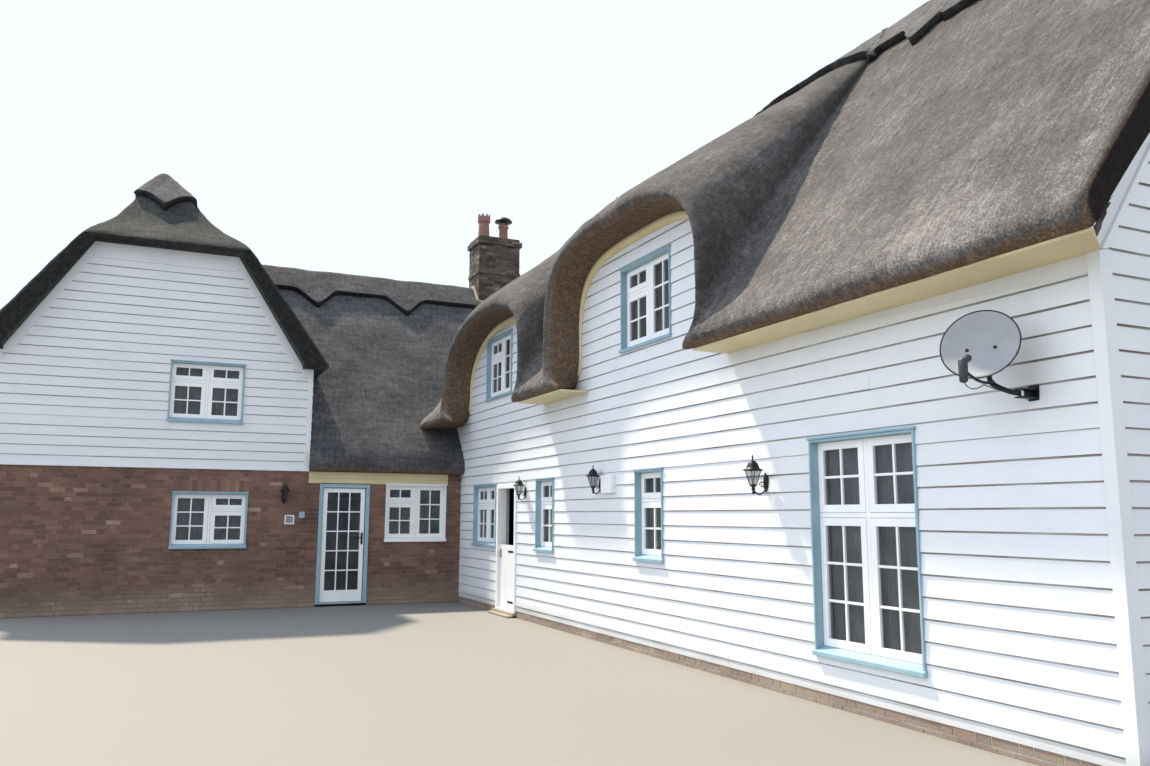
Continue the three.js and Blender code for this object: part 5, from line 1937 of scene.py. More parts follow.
WINDOWS = (
    Casement("big_casement", COURT, BIG_WINDOW, Layout.TALL, ("big_casement_window",), 0.363),
    Casement("narrow_casement", COURT, NARROW_WINDOW, Layout.SINGLE, ("narrow_window",), 0.34),
    Casement("middle_casement", COURT, MIDDLE_WINDOW, Layout.SINGLE, ("middle_window",), 0.34),
    Casement("door_side_casement", COURT, DOOR_WINDOW, Layout.VENT_BOTH, ("door_side_window",)),
    Casement("near_dormer_casement", COURT, NEAR_DORMER_WINDOW, Layout.VENT_LEFT,
             ("near_dormer_window",)),
    Casement("far_dormer_casement", COURT, FAR_DORMER_WINDOW, Layout.VENT_LEFT, ("far_dormer_window",)),
    Casement("cross_wing_lower_casement", BACK_FRONT, CROSS_LOW_WINDOW, Layout.VENT_RIGHT,
             ("cross_wing_lower_window",)),
    Casement("cross_wing_upper_casement", BACK_FRONT, CROSS_HIGH_WINDOW, Layout.VENT_BOTH,
             ("cross_wing_upper_window",)),
    Casement("back_range_casement", BACK_FRONT, RANGE_WINDOW, Layout.VENT_LEFT, ("back_range_window",),
             frame_finish=WHITE_TRIM),
    Casement("near_gable_lower_casement", NEAR_GABLE, GABLE_LOW_WINDOW, Layout.VENT_LEFT,
             ("near_gable_lower_window",)),
    Casement("near_gable_upper_casement", NEAR_GABLE, GABLE_HIGH_WINDOW, Layout.VENT_BOTH,
             ("near_gable_upper_window",)),
    Casement("garden_near_dormer_casement", GARDEN, NEAR_DORMER_WINDOW, Layout.VENT_RIGHT,
             ("garden_side_near_dormer_window",)),
    Casement("garden_far_dormer_casement", GARDEN, FAR_DORMER_WINDOW, Layout.VENT_RIGHT,
             ("garden_side_far_dormer_window",)),
    Casement("cross_wing_rear_casement", BACK_REAR, REAR_GABLE_WINDOW, Layout.VENT_BOTH,
             ("cross_wing_rear_window",)),
    *(Casement(f"garden_side_casement_{i + 1}", GARDEN, hole, Layout.VENT_LEFT,
               ("garden_side_windows",)) for i, hole in enumerate(GARDEN_ROW)),
    *(Casement(f"rear_casement_{i + 1}", BACK_REAR, hole, Layout.VENT_BOTH, ("rear_windows",))
      for i, hole in enumerate(REAR_ROW)),
    *(Casement(f"cross_side_lower_casement_{i + 1}", CROSS_SIDE, hole, Layout.VENT_BOTH,
               ("cross_wing_side_lower_windows",)) for i, hole in enumerate(SIDE_LOW_ROW)),
    *(Casement(f"cross_side_upper_casement_{i + 1}", CROSS_SIDE, hole, Layout.VENT_BOTH,
               ("cross_wing_side_upper_windows",)) for i, hole in enumerate(SIDE_HIGH_ROW)),
)


def gable_top(centre: float, half: float, plate: float, inner: float, knee: float, flat: float,
              level: float) -> Array:
    """Height that a gable's boards reach along the wall: up the thatch's inner slope, then level."""
    return np.array([
        (centre - half, plate), (centre - inner, plate), (centre - inner + 0.001, knee),
        (centre - flat, level), (centre + flat, level), (centre + inner - 0.001, knee),
        (centre + inner, plate), (centre + half, plate)])


def boardings(roof: RightWingRoof) -> list[Boarding]:
    """Returns every boarded wall."""
    long_top = roof.stations()[:, 4:6]
    near = gable_top(WING_RIDGE_X, 3.03, 3.28, 3.029, 3.3, 0.945, LIP_Z)
    far = gable_top(WING_RIDGE_X, 3.03, 3.31, 2.83, 3.87, 0.04, 7.25)
    cross = gable_top(CROSS_RIDGE_X, 2.525, 4.22, 2.325, 4.28, 1.145, LIP_Z)
    side_top = np.array([(FRONT_Y, 4.21), (REAR_Y, 4.21)])
    dormer_holes = (NEAR_DORMER_WINDOW, FAR_DORMER_WINDOW)
    court_holes = (BIG_WINDOW, NARROW_WINDOW, MIDDLE_WINDOW, (*STABLE_DOOR[:2], 0.0, STABLE_DOOR[3]),
                   DOOR_WINDOW, *dormer_holes)
    cross_span = (-7.02, -2.13)
    wing, upper, gable = (WING_BOARD_FOOT, 0.02, 0.165), (ROOF_BOARD_FOOT,) * 2, (CROSS_BOARD_FOOT,) * 2
    rows = [
        ("court_boards", COURT, (-9.95, FRONT_Y), *wing, long_top, court_holes),
        ("garden_boards", GARDEN, (-9.95, 4.78), *wing, long_top, (*GARDEN_ROW, *dormer_holes)),
        ("near_gable_boards", NEAR_GABLE, (0.88, 6.78), *wing, near,
         (GABLE_LOW_WINDOW, GABLE_HIGH_WINDOW)),
        ("far_gable_boards", FAR_GABLE, (0.9, 6.78), *upper, 0.165, far, ()),
        ("cross_gable_boards", BACK_FRONT, cross_span, *gable, 0.161, cross, (CROSS_HIGH_WINDOW,)),
        ("cross_rear_boards", BACK_REAR, cross_span, *gable, 0.161, cross, (REAR_GABLE_WINDOW,)),
        ("cross_side_boards", CROSS_SIDE, (3.32, 9.98), *gable, 0.161, side_top, SIDE_HIGH_ROW),
        ("cross_cheek_boards", CROSS_CHEEK, (3.25, 10.05), *upper, 0.161, side_top, ()),
    ]
    return [Boarding(*row, seed=5 + 10 * number) for number, row in enumerate(rows)]


def brickworks() -> list[Brickwork]:
    """Returns every brick wall."""
    door = (*GARDEN_DOOR[:2], 0.0, GARDEN_DOOR[3])
    behind_beam = tuple((*hole[:3], 2.2) for hole in (door, RANGE_WINDOW))
    walls = [
        ("cross_front_bricks", BACK_FRONT, (CROSS_LEFT_X, CROSS_RIGHT_X), (0.0, 2.385),
         (door, CROSS_LOW_WINDOW), 103),
        ("range_front_bricks", BACK_FRONT, (CROSS_RIGHT_X, 0.795), (0.0, 2.165), behind_beam, 113),
        ("range_pier_bricks", BACK_FRONT, (0.535, 0.795), (2.165, 2.375), (), 117),
        ("rear_bricks", BACK_REAR, (CROSS_LEFT_X, GARDEN_X), (0.0, 2.36), REAR_ROW, 123),
        ("range_end_bricks", GARDEN, (4.81, REAR_Y), (0.0, 2.36), (), 133),
        ("cross_side_bricks", CROSS_SIDE, (FRONT_Y, REAR_Y), (0.0, 2.385), SIDE_LOW_ROW, 143),
    ]
    plinths = [
        ("court_plinth_bricks", COURT, (NEAR_Y, STABLE_DOOR[0]), 153),
        ("court_far_plinth_bricks", COURT, (STABLE_DOOR[1], 3.23), 157),
        ("gable_plinth_bricks", NEAR_GABLE, (COURT_X, GARDEN_X), 163),
        ("garden_plinth_bricks", GARDEN, (NEAR_Y, WING_FAR_Y), 173),
    ]
    return [*(Brickwork(*row, seed=seed) for *row, seed in walls),
            *(Brickwork(name, wall, span, (-0.045, WING_BOARD_FOOT), lintels=False, seed=seed)
              for name, wall, span, seed in plinths)]


@dataclass
class Trims:
    """Corner boards, raking boards up the gables, friezes, fascias and the door's threshold."""

    proud: float = 0.026
    rake_width: float = 0.17
    slim_rake: float = 0.05
    frieze: float = 0.27
    board: float = 0.018
    foot: float = -0.004
    rail_z: tuple[float, float] = (2.375, 2.4)
    cross_z: tuple[float, float] = (2.385, 4.2)

    def rake(self, blocks: Blocks, low: tuple[float, float], high: tuple[float, float], width: float,
             proud: float) -> None:
        """A board along a gable's slope: a slab whose top edge runs from low to high.

        Args:
            blocks: where it goes.
            low: u and z of the top edge's foot.
            high: u and z of its head.
            width: its width, measured level.
            proud: how far it stands out.
        """
        way = math.copysign(width, high[0] - low[0])
        corners = np.array([
            (low[0], low[1]), (low[0] + way, low[1]), (high[0] + way * 0.75, high[1]), (high[0], high[1])])
        if way < 0:
            corners = corners[[1, 0, 3, 2]]
        near = np.stack([corners[:, 0], np.full(4, self.foot), corners[:, 1]], axis=1)
        far = near + np.array([0, proud - self.foot, 0])
        points = np.stack([near[0], near[3], far[0], far[3], near[1], near[2], far[1], far[2]])[None]
        blocks.solids(points, [BLOCK_FACES])

    def gable(self, name: str, wall: WallFace, centre: float, half: float, inner: float, plate: float,
              knee: float, flat: float, level: float, width: float) -> None:
        """Boards round a gable's edge, under the thatch."""
        blocks = Blocks(wall)
        out = self.proud + 0.008
        for side in (-1, 1):
            foot = centre + side * inner
            self.rake(blocks, (foot, knee), (centre + side * flat, level), width, out)
            if inner < half:
                blocks.bar(*sorted((foot, foot - side * width)), self.foot, out, plate - 0.02, knee)
                blocks.bar(*sorted((centre + side * half, foot)), self.foot, out, plate - 0.16,
                           plate - 0.003)
        blocks.bar(centre - flat, centre + flat, self.foot, self.proud, level - self.frieze, level)
        blocks.build(name, WHITE_BOARD_PAINT, bevel=0.002)

    def verge_soffit(self, roof: RightWingRoof) -> None:
        """Builds the white boards under the near gable's overhang, from its front edge to the wall."""
        blocks = Blocks()
        depths = (roof.near + 0.012, roof.near + roof.hip.overhang - 0.004)
        for side in (-1, 1):
            front, back = (in_plane(roof.ridge_x, rim, side, y)[::-side]
                           for rim, y in zip(roof.rims(), depths))
            for k in range(len(front) - 1):
                corners = [row[k + step] - [0, 0, drop] for step in (0, 1) for row in (front, back)
                           for drop in (self.board, 0.004)]
                blocks.solids(np.array(corners)[None], [BLOCK_FACES])
        blocks.build("near_verge_soffit", WHITE_BOARD_PAINT)

    def eaves_soffit(self, roof: RightWingRoof) -> None:
        """Builds the cream boards under the near eaves, each cut on the skew at the gable's corner."""
        blocks = Blocks()
        nodes = ("near_soffit", "garden_side_near_soffit")
        skew = roof.hip.overhang - 0.03
        for node, pulls in zip(nodes, ((0.0, skew), (skew, 0.0))):
            low, high = (np.array(corner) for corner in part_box(node))
            corners = [(x, y, z) for x, pull in zip((low[0], high[0]), pulls)
                       for y in (low[1] + pull, high[1]) for z in (low[2], high[2])]
            blocks.solids(np.array(corners)[None], [BLOCK_FACES])
        blocks.build("near_eaves_soffits", CREAM, stands_for=nodes)

    def build(self, roof: RightWingRoof) -> None:
        """Builds them all."""
        self.verge_soffit(roof)
        self.eaves_soffit(roof)
        self.corners()
        wing = (WING_RIDGE_X, 3.03, 3.03, 3.31, 3.3, 0.94, LIP_Z)
        cross = (CROSS_RIDGE_X, 2.525, 2.325, 4.22, 4.28, 1.14, LIP_Z)
        self.gable("near_gable_trim", NEAR_GABLE, *wing, self.slim_rake)
        self.gable("cross_gable_trim", BACK_FRONT, *cross, self.rake_width)
        self.gable("cross_rear_trim", BACK_REAR, *cross, self.rake_width)
        rails, lap = Blocks(), 0.034
        for y0, y1 in ((FRONT_Y - lap, FRONT_Y + 0.01), (REAR_Y - 0.01, REAR_Y + lap)):
            rails.bar(CROSS_LEFT_X - 0.03, CROSS_RIGHT_X + 0.005, y0, y1, *self.rail_z)
        rails.bar(CROSS_LEFT_X - lap, CROSS_LEFT_X + 0.01, FRONT_Y, REAR_Y, *self.rail_z)
        rails.build("boarding_foot_rails", WHITE_BOARD_PAINT, bevel=0.002)
        fascia = Blocks()
        for out, z0, z1 in ((0.03, 2.262, 2.376), (0.012, 2.175, 2.262)):
            fascia.bar(CROSS_RIGHT_X + 0.005, 0.525, FRONT_Y - out, FRONT_Y - 0.001, z0, z1)
        fascia.build("range_eaves_fascia", CREAM, bevel=0.003)
        step = Blocks(COURT)
        for out, z in ((0.07, 0.068), (0.15, 0.03)):
            step.bar(STABLE_DOOR[0] - 0.03, STABLE_DOOR[1] + 0.03, -0.1, out, 0.0, z)
        step.build("stable_door_threshold", FLAGSTONE, bevel=0.006)

    def corners(self) -> None:
        """Builds the upright boards at the corners of the boarded walls.

        At each corner one board covers the side wall and one the gable, and the sunk edge of each
        lies behind the other.
        """
        p, cover, sunk = self.proud, 0.083, 0.003
        blocks = Blocks()
        for x, way in ((COURT_X, 1), (GARDEN_X, -1)):
            side = sorted((x - way * p, x + way * sunk))
            face = sorted((x + way * sunk, x + way * 0.085))
            blocks.bar(*side, NEAR_Y - p, NEAR_Y + 0.065, 0.1, 3.29)
            blocks.bar(*face, NEAR_Y - p, NEAR_Y + sunk, 0.1, 3.3)
        for y, way in ((FRONT_Y, 1), (REAR_Y, -1)):
            face = sorted((y - way * p, y + way * sunk))
            side = sorted((y + way * sunk, y + way * 0.085))
            blocks.bar(CROSS_RIGHT_X - cover, CROSS_RIGHT_X, *face, *self.cross_z)
            blocks.bar(CROSS_LEFT_X - p, CROSS_LEFT_X + cover, *face, *self.cross_z)
            blocks.bar(CROSS_LEFT_X - p, CROSS_LEFT_X + sunk, *side, *self.cross_z)
        blocks.build("corner_boards", WHITE_BOARD_PAINT, bevel=0.002)


@dataclass
class DormerInfill:
    """Cream boards that close an arch between the level head of its weatherboards and the reed."""

    wall: WallFace
    name: str
    slim: float = 0.03
    full: float = 0.065
    out: float = 0.012
    past: float = 0.3
    stations: int = 90

    def build(self, roof: RightWingRoof) -> None:
        """Builds a cream fillet along each arch's wall line, slim at the jambs and full at the head."""
        wall_line = roof.stations()[:, 4:6]
        blocks = Blocks(self.wall)
        for dormer in roof.dormers:
            inside = (wall_line[:, 0] > dormer.centre - dormer.half - self.past)
            inside &= wall_line[:, 0] < dormer.centre + dormer.half + self.past
            inside &= wall_line[:, 1] > roof.spring - self.past
            line = wall_line[inside]
            line = np.stack([line[:, 0], np.full(len(line), self.out), line[:, 1]], axis=1)
            line = resample(line, self.stations)
            share = np.clip((line[:, 2] - roof.spring) / (dormer.top - roof.spring), 0, 1)
            radius = self.slim + (self.full - self.slim) * share
            line[:, 2] -= radius * 0.6
            blocks.rod(line, radius, 6)
        blocks.build(self.name, CREAM, smooth=True)


def door_frame(wall: WallFace, hole: tuple, sill_out: float) -> Blocks:
    """Gathers a door's two posts, its head and its sill, just inside a hole.

    Args:
        wall: the wall.
        hole: low and high u, then low and high z.
        sill_out: how far the sill stands out.

    Returns:
        The blocks.
    """
    u0, u1, z0, z1 = hole
    bar, back, front, sill = 0.066, -0.13, 0.03, 0.03
    blocks = Blocks(wall)
    blocks.bar(u0, u0 + bar, back, front, z0, z1)
    blocks.bar(u1 - bar, u1, back, front, z0, z1)
    blocks.bar(u0 + bar, u1 - bar, back, front, z1 - bar, z1)
    blocks.bar(u0 + bar, u1 - bar, back, sill_out, z0, z0 + sill)
    return blocks


@dataclass
class StableDoor:
    """The court's stable door: a frame, and two plank leaves on one line of pins."""

    low: float = 0.326
    high: float = 1.072
    outer: float = 0.812
    inner: float = 0.857
    pin_x: float = 0.867
    pin_z: tuple[float, ...] = (0.3, 0.9, 1.32, 1.85)
    planks: int = 5
    gap: float = 0.0012
    ledge: float = 0.018
    strap: float = 0.34

    def frame(self) -> None:
        """Builds the white frame with its sill and the pins' lower knuckles."""
        blocks = door_frame(COURT, STABLE_DOOR, 0.03)
        for z in self.pin_z:
            blocks.bar(STABLE_DOOR[0] + 0.05, self.low - 0.004, self.outer - self.pin_x - 0.016, -0.061,
                       z - 0.046, z - 0.001)
        blocks.build("stable_door_surround", WHITE_TRIM, stands_for=("stable_door_frame",), bevel=0.003)

    def leaf(self, name: str, node: str, z0: float, z1: float, body: Body, opened: bool) -> None:
        """Builds one leaf of upright planks with ledges, hinges and, on the lower one, its latch.

        Args:
            name: the piece's name.
            node: the CAD node that it replaces.
            z0: its foot.
            z1: its head.
            body: what it moves with.
            opened: whether it stands open at right angles inside.
        """
        thick = self.inner - self.outer
        width = self.high - self.low
        wall, start = WallFace("x", self.inner, -1), self.low
        if opened:
            wall, start = WallFace("y", self.low + 0.01, 1), self.pin_x
        wood, iron = Blocks(wall), Blocks(wall)
        step = width / self.planks
        for i in range(self.planks):
            wood.bar(start + i * step + self.gap, start + (i + 1) * step - self.gap, self.ledge, thick,
                     z0, z1, 0.3 + 0.1 * (i % 3))
        for z in (z0 + 0.06, z1 - 0.15):
            wood.bar(start + 0.02, start + width - 0.02, 0.0, self.ledge, z, z + 0.09)
        wood.build(name, WHITE_TRIM, body, stands_for=(node,), bevel=0.0025)
        for z in (z0 + 0.105, z1 - 0.105):
            iron.bar(start + 0.004, start + self.strap, thick, thick + 0.003, z - 0.016, z + 0.016)
        latch = start + width - 0.07
        if not opened:
            iron.bar(latch - 0.016, latch + 0.016, thick, thick + 0.004, 0.9, 1.05)
            iron.rod([(latch, thick + 0.003, 1.01), (latch, thick + 0.032, 1.0),
                      (latch, thick + 0.034, 0.94), (latch, thick + 0.003, 0.925)], 0.006)
            iron.bar(latch - 0.012, latch + 0.012, thick + 0.003, thick + 0.02, 1.02, 1.032)
        iron.build(f"{name}_ironwork", IRON, body, bevel=0.001)

    def build(self) -> None:
        """Builds the door."""
        self.frame()
        self.leaf("stable_door_lower_planks", "stable_door_lower_leaf", 0.106, 1.125, Body.STABLE_LEAF,
                  False)
        self.leaf("stable_door_upper_planks", "stable_door_upper_leaf", 1.135, 2.044, Body.HOUSE, True)


@dataclass
class GardenDoor:
    """The low range's glazed door: three panes across and five up, in white stiles."""

    low: float = -1.774
    high: float = -1.028
    bottom: float = 0.076
    top: float = 2.084
    stile: float = 0.075
    rail: float = 0.2
    columns: int = 3
    rows: int = 5

    def build(self) -> None:
        """Builds the frame, the leaf, its glass and its handle."""
        door_frame(BACK_FRONT, GARDEN_DOOR, 0.045).build(
            "garden_door_surround", PALE_BLUE, stands_for=("garden_door_frame",), bevel=0.003)
        front, back, half_bar = -0.012, -0.057, 0.0105
        leaf = Blocks(BACK_FRONT)
        a, b = self.low + self.stile, self.high - self.stile
        c, d = self.bottom + self.rail, self.top - self.stile
        leaf.bar(self.low, a, back, front, self.bottom, self.top)
        leaf.bar(b, self.high, back, front, self.bottom, self.top)
        leaf.bar(a, b, back, front, self.bottom, c)
        leaf.bar(a, b, back, front, d, self.top)
        for i in range(1, self.columns):
            u = a + (b - a) * i / self.columns
            leaf.bar(u - half_bar, u + half_bar, back + 0.008, front - 0.006, c, d)
        for i in range(1, self.rows):
            z = c + (d - c) * i / self.rows
            leaf.bar(a, b, back + 0.009, front - 0.007, z - half_bar, z + half_bar)
        leaf.build("garden_door_sash", WHITE_TRIM, Body.GARDEN_LEAF, stands_for=("garden_door_leaf",),
                   bevel=0.002)
        glass = Blocks(BACK_FRONT)
        glass.bar(a - 0.004, b + 0.004, -0.036, -0.032, c - 0.004, d + 0.004)
        glass.build("garden_door_glass", PANE, Body.GARDEN_LEAF)
        handle = Blocks(BACK_FRONT)
        u = self.high - self.stile / 2
        handle.bar(u - 0.019, u + 0.019, front, front + 0.006, 1.08, 1.29)
        handle.rod([(u, front + 0.004, 1.2), (u, front + 0.045, 1.2), (u - 0.03, front + 0.052, 1.2),
                    (u - 0.11, front + 0.052, 1.195)], 0.0095)
        handle.build("garden_door_handle", IRON, Body.GARDEN_LEAF, bevel=0.001)


# Chimney


CROWN_PROFILE = (
    (0.15, 0.0, 0), (0.152, 0.05, 0), (0.138, 0.07, 0), (0.122, 0.4, 0), (0.13, 0.42, 0),
    (0.15, 0.45, 0), (0.152, 0.5, 0), (0.15, 0.62, 1), (0.118, 0.62, 1), (0.112, 0.5, 0), (0.1, 0.4, 0))
POT_PROFILE = (
    (0.12, 0.0), (0.124, 0.04), (0.112, 0.06), (0.1, 0.33), (0.124, 0.35), (0.128, 0.375),
    (0.124, 0.41), (0.1, 0.42), (0.09, 0.42), (0.085, 0.36))
COWL_PROFILE = (
    (0.02, 0.49), (0.2, 0.5), (0.214, 0.508), (0.2, 0.545), (0.16, 0.585), (0.09, 0.62), (0.03, 0.636),
    (0.004, 0.64))


@dataclass
class Chimney:
    """The stack's sooty bricks over its mortar core, a mortar fillet at its foot, and two pots.

    courses gives each stretch of the stack: its name, foot, head and how far it stands out.
    """

    x: tuple[float, float] = (2.08, 3.08)
    y: tuple[float, float] = (6.25, 7.0)
    top: float = 8.17
    pot_y: float = 6.625
    crown_x: float = 2.3
    cowled_x: float = 2.8
    sides: int = 64
    teeth: int = 8
    tooth: float = 0.055
    courses: tuple[tuple[str, float, float, float], ...] = (
        ("stack_bricks", 6.2, 7.25, 0.0), ("stack_lower_band", 7.25, 7.33, 0.0225),
        ("stack_shaft_bricks", 7.33, 7.98, 0.0), ("stack_top_band", 7.98, 8.09, 0.045),
        ("stack_cap_bricks", 8.09, 8.17, 0.0))

    def ring(self, name: str, low: float, high: float, out: float, seed: int) -> None:
        """Builds the bricks of one stretch of the stack, out metres past its faces."""
        (x0, x1), (y0, y1) = self.x, self.y
        sides = [(WallFace("x", x0 - out, -1), (y0 - out, y1 + out)),
                 (WallFace("x", x1 + out, 1), (y0 - out, y1 + out)),
                 (WallFace("y", y0 - out, -1), (x0 - out, x1 + out)),
                 (WallFace("y", y1 + out, 1), (x0 - out, x1 + out))]
        blocks = Blocks()
        for number, (wall, span) in enumerate(sides):
            blocks.wall = wall
            Brickwork("", wall, span, (low - 0.01, high), lintels=False, seed=seed + number,
                      proud=(0.003, 0.01)).lay(blocks)
        blocks.build(name, SOOT_BRICK)

    def fillet(self) -> None:
        """Runs a roll of pale mortar round the stack where the ridge meets it."""
        (x0, x1), (y0, y1) = self.x, self.y
        corners = np.array([(x0, y0), (x1, y0), (x1, y1), (x0, y1), (x0, y0)], float)
        share = np.linspace(0, 4, 81)
        x, y = (np.interp(share, np.arange(5), corners[:, i]) for i in range(2))
        cap_z, ridge_z, pitch, radius = 6.95, 6.99, 1.178, 0.06
        surface = np.minimum(cap_z, ridge_z - pitch * np.abs(y - RANGE_RIDGE_Y))
        blocks = Blocks()
        blocks.rod(np.stack([x, y, surface + 0.015], axis=1), radius, 8)
        blocks.build("stack_mortar_fillet", FILLET, smooth=True)

    def pots(self) -> None:
        """Turns the two pots. The crown pot's rim rises and falls as a square wave."""
        angle = np.arange(self.sides) * 2 * math.pi / self.sides
        teeth = np.where(np.sin(angle * self.teeth) > 0, 0.0, -self.tooth)
        rings = np.stack([np.stack([
            self.crown_x + r * np.cos(angle), self.pot_y + r * np.sin(angle),
            self.top + h + teeth * wave], axis=1) for r, h, wave in CROWN_PROFILE])
        crown = Blocks()
        crown.tube(rings, *(np.array([self.crown_x, self.pot_y, self.top + h]) for h in (0.0, 0.4)))
        crown.build("crown_pot", CLAY, stands_for=("crown_chimney_pot",))
        centre = (self.cowled_x, self.pot_y, self.top)
        pot, cowl = Blocks(), Blocks()
        pot.lathe(POT_PROFILE, centre, 40)
        pot.build("cowled_pot", CLAY, stands_for=("cowl_chimney_pot",), smooth=True)
        cowl.lathe(COWL_PROFILE, centre, 40)
        for turn in range(4):
            a = math.pi / 4 + turn * math.pi / 2
            foot = np.array(centre) + [0.1 * math.cos(a), 0.1 * math.sin(a), 0]
            cowl.rod([foot + [0, 0, rise] for rise in (0.38, 0.46, 0.52)], 0.009, 6)
        cowl.build("pot_cowl", IRON, smooth=True)

    def build(self) -> None:
        """Builds the chimney."""
        for number, (name, low, high, out) in enumerate(self.courses):
            self.ring(name, low, high, out, 203 + 10 * number)
        self.fillet()
        self.pots()


# Lanterns, dish and other small things


LANTERN_FOOT = (
    (0.006, -0.165), (0.016, -0.15), (0.008, -0.135), (0.02, -0.12), (0.014, -0.1), (0.034, -0.082),
    (0.036, -0.072))
LANTERN_HOOD = (
    (0.098, 0.06), (0.1, 0.068), (0.066, 0.08), (0.06, 0.1), (0.048, 0.128), (0.028, 0.15),
    (0.012, 0.158), (0.006, 0.17), (0.009, 0.19), (0.003, 0.212))


@dataclass
class Lantern:
    """A wall lantern: an oval back plate, a scrolled arm, and a glazed body under a domed hood.

    The body's middle stands reach metres out from the wall, over the end of an arm that dips from
    the plate's foot. Its four posts lean outwards from foot to hood.
    """

    name: str
    node: str
    wall: WallFace
    u: float
    z: float
    reach: float = 0.12
    plate: tuple[float, float] = (0.042, 0.1)
    plate_drop: float = 0.05
    body: tuple[float, float] = (-0.075, 0.062)
    posts: tuple[float, float] = (0.034, 0.076)
    panes: tuple[float, float] = (0.031, 0.072)

    def build(self) -> None:
        """Builds the lantern."""
        iron, glass = Blocks(self.wall), Blocks(self.wall)
        share = np.linspace(0, 2 * math.pi, 20, endpoint=False)
        oval = np.stack([self.u + self.plate[0] * np.cos(share), np.zeros(20),
                         self.z - self.plate_drop + self.plate[1] * np.sin(share)], axis=1)
        rings = np.stack([oval + [0, out, 0] for out in (0.002, 0.012, 0.018)])
        rings[2] = (rings[2] - rings[2].mean(axis=0)) * [0.8, 1, 0.88] + rings[2].mean(axis=0)
        rings = rings[:, ::-1]
        iron.tube(rings, rings[0].mean(axis=0), rings[2].mean(axis=0))
        turn = np.linspace(0, 1, 22)
        arm_w = 0.015 + (self.reach - 0.015) * turn
        arm_z = self.z - 0.115 - 0.045 * np.sin(turn * math.pi) - 0.01 * turn
        iron.rod(np.stack([np.full(22, self.u), arm_w, arm_z], axis=1), 0.0075, 8)
        curl = np.linspace(0, 2.2 * math.pi, 26)
        radius = 0.034 * (1 - curl / (3 * math.pi))
        iron.rod(np.stack([np.full(26, self.u), 0.055 + radius * np.cos(curl),
                           self.z - 0.075 + radius * np.sin(curl)], axis=1), 0.0055, 6)
        centre = (self.u, self.reach, self.z)
        low, high = self.z + self.body[0], self.z + self.body[1]
        iron.lathe(LANTERN_FOOT, centre, 12)
        iron.lathe(LANTERN_HOOD, centre, 16)
        for k in range(4):
            a = math.pi / 4 + k * math.pi / 2
            foot, head = (np.array([self.u + r * math.cos(a), self.reach + r * math.sin(a), z])
                          for r, z in zip(self.posts, (low, high)))
            iron.rod([foot, (foot + head) / 2, head], 0.0045, 6)
        angle = math.pi / 4 + np.arange(4) * math.pi / 2
        pane = np.stack([np.stack([
            self.u + r * np.cos(angle), self.reach + r * np.sin(angle), np.full(4, z)], axis=1)
            for r, z in zip(self.panes, (low + 0.004, high - 0.002))])
        glass.tube(pane, pane[0].mean(axis=0), pane[1].mean(axis=0))
        iron.build(self.name, IRON, stands_for=(self.node,), smooth=True)
        glass.build(f"{self.name}_glass", PANE)


def bent(points: list, count: int) -> Array:
    """Returns count places on the smooth curve that three control points give."""
    a, b, c = (np.array(point, float) for point in points)
    t = np.linspace(0, 1, count)[:, None]
    return (1 - t) ** 2 * a + 2 * t * (1 - t) * b + t ** 2 * c


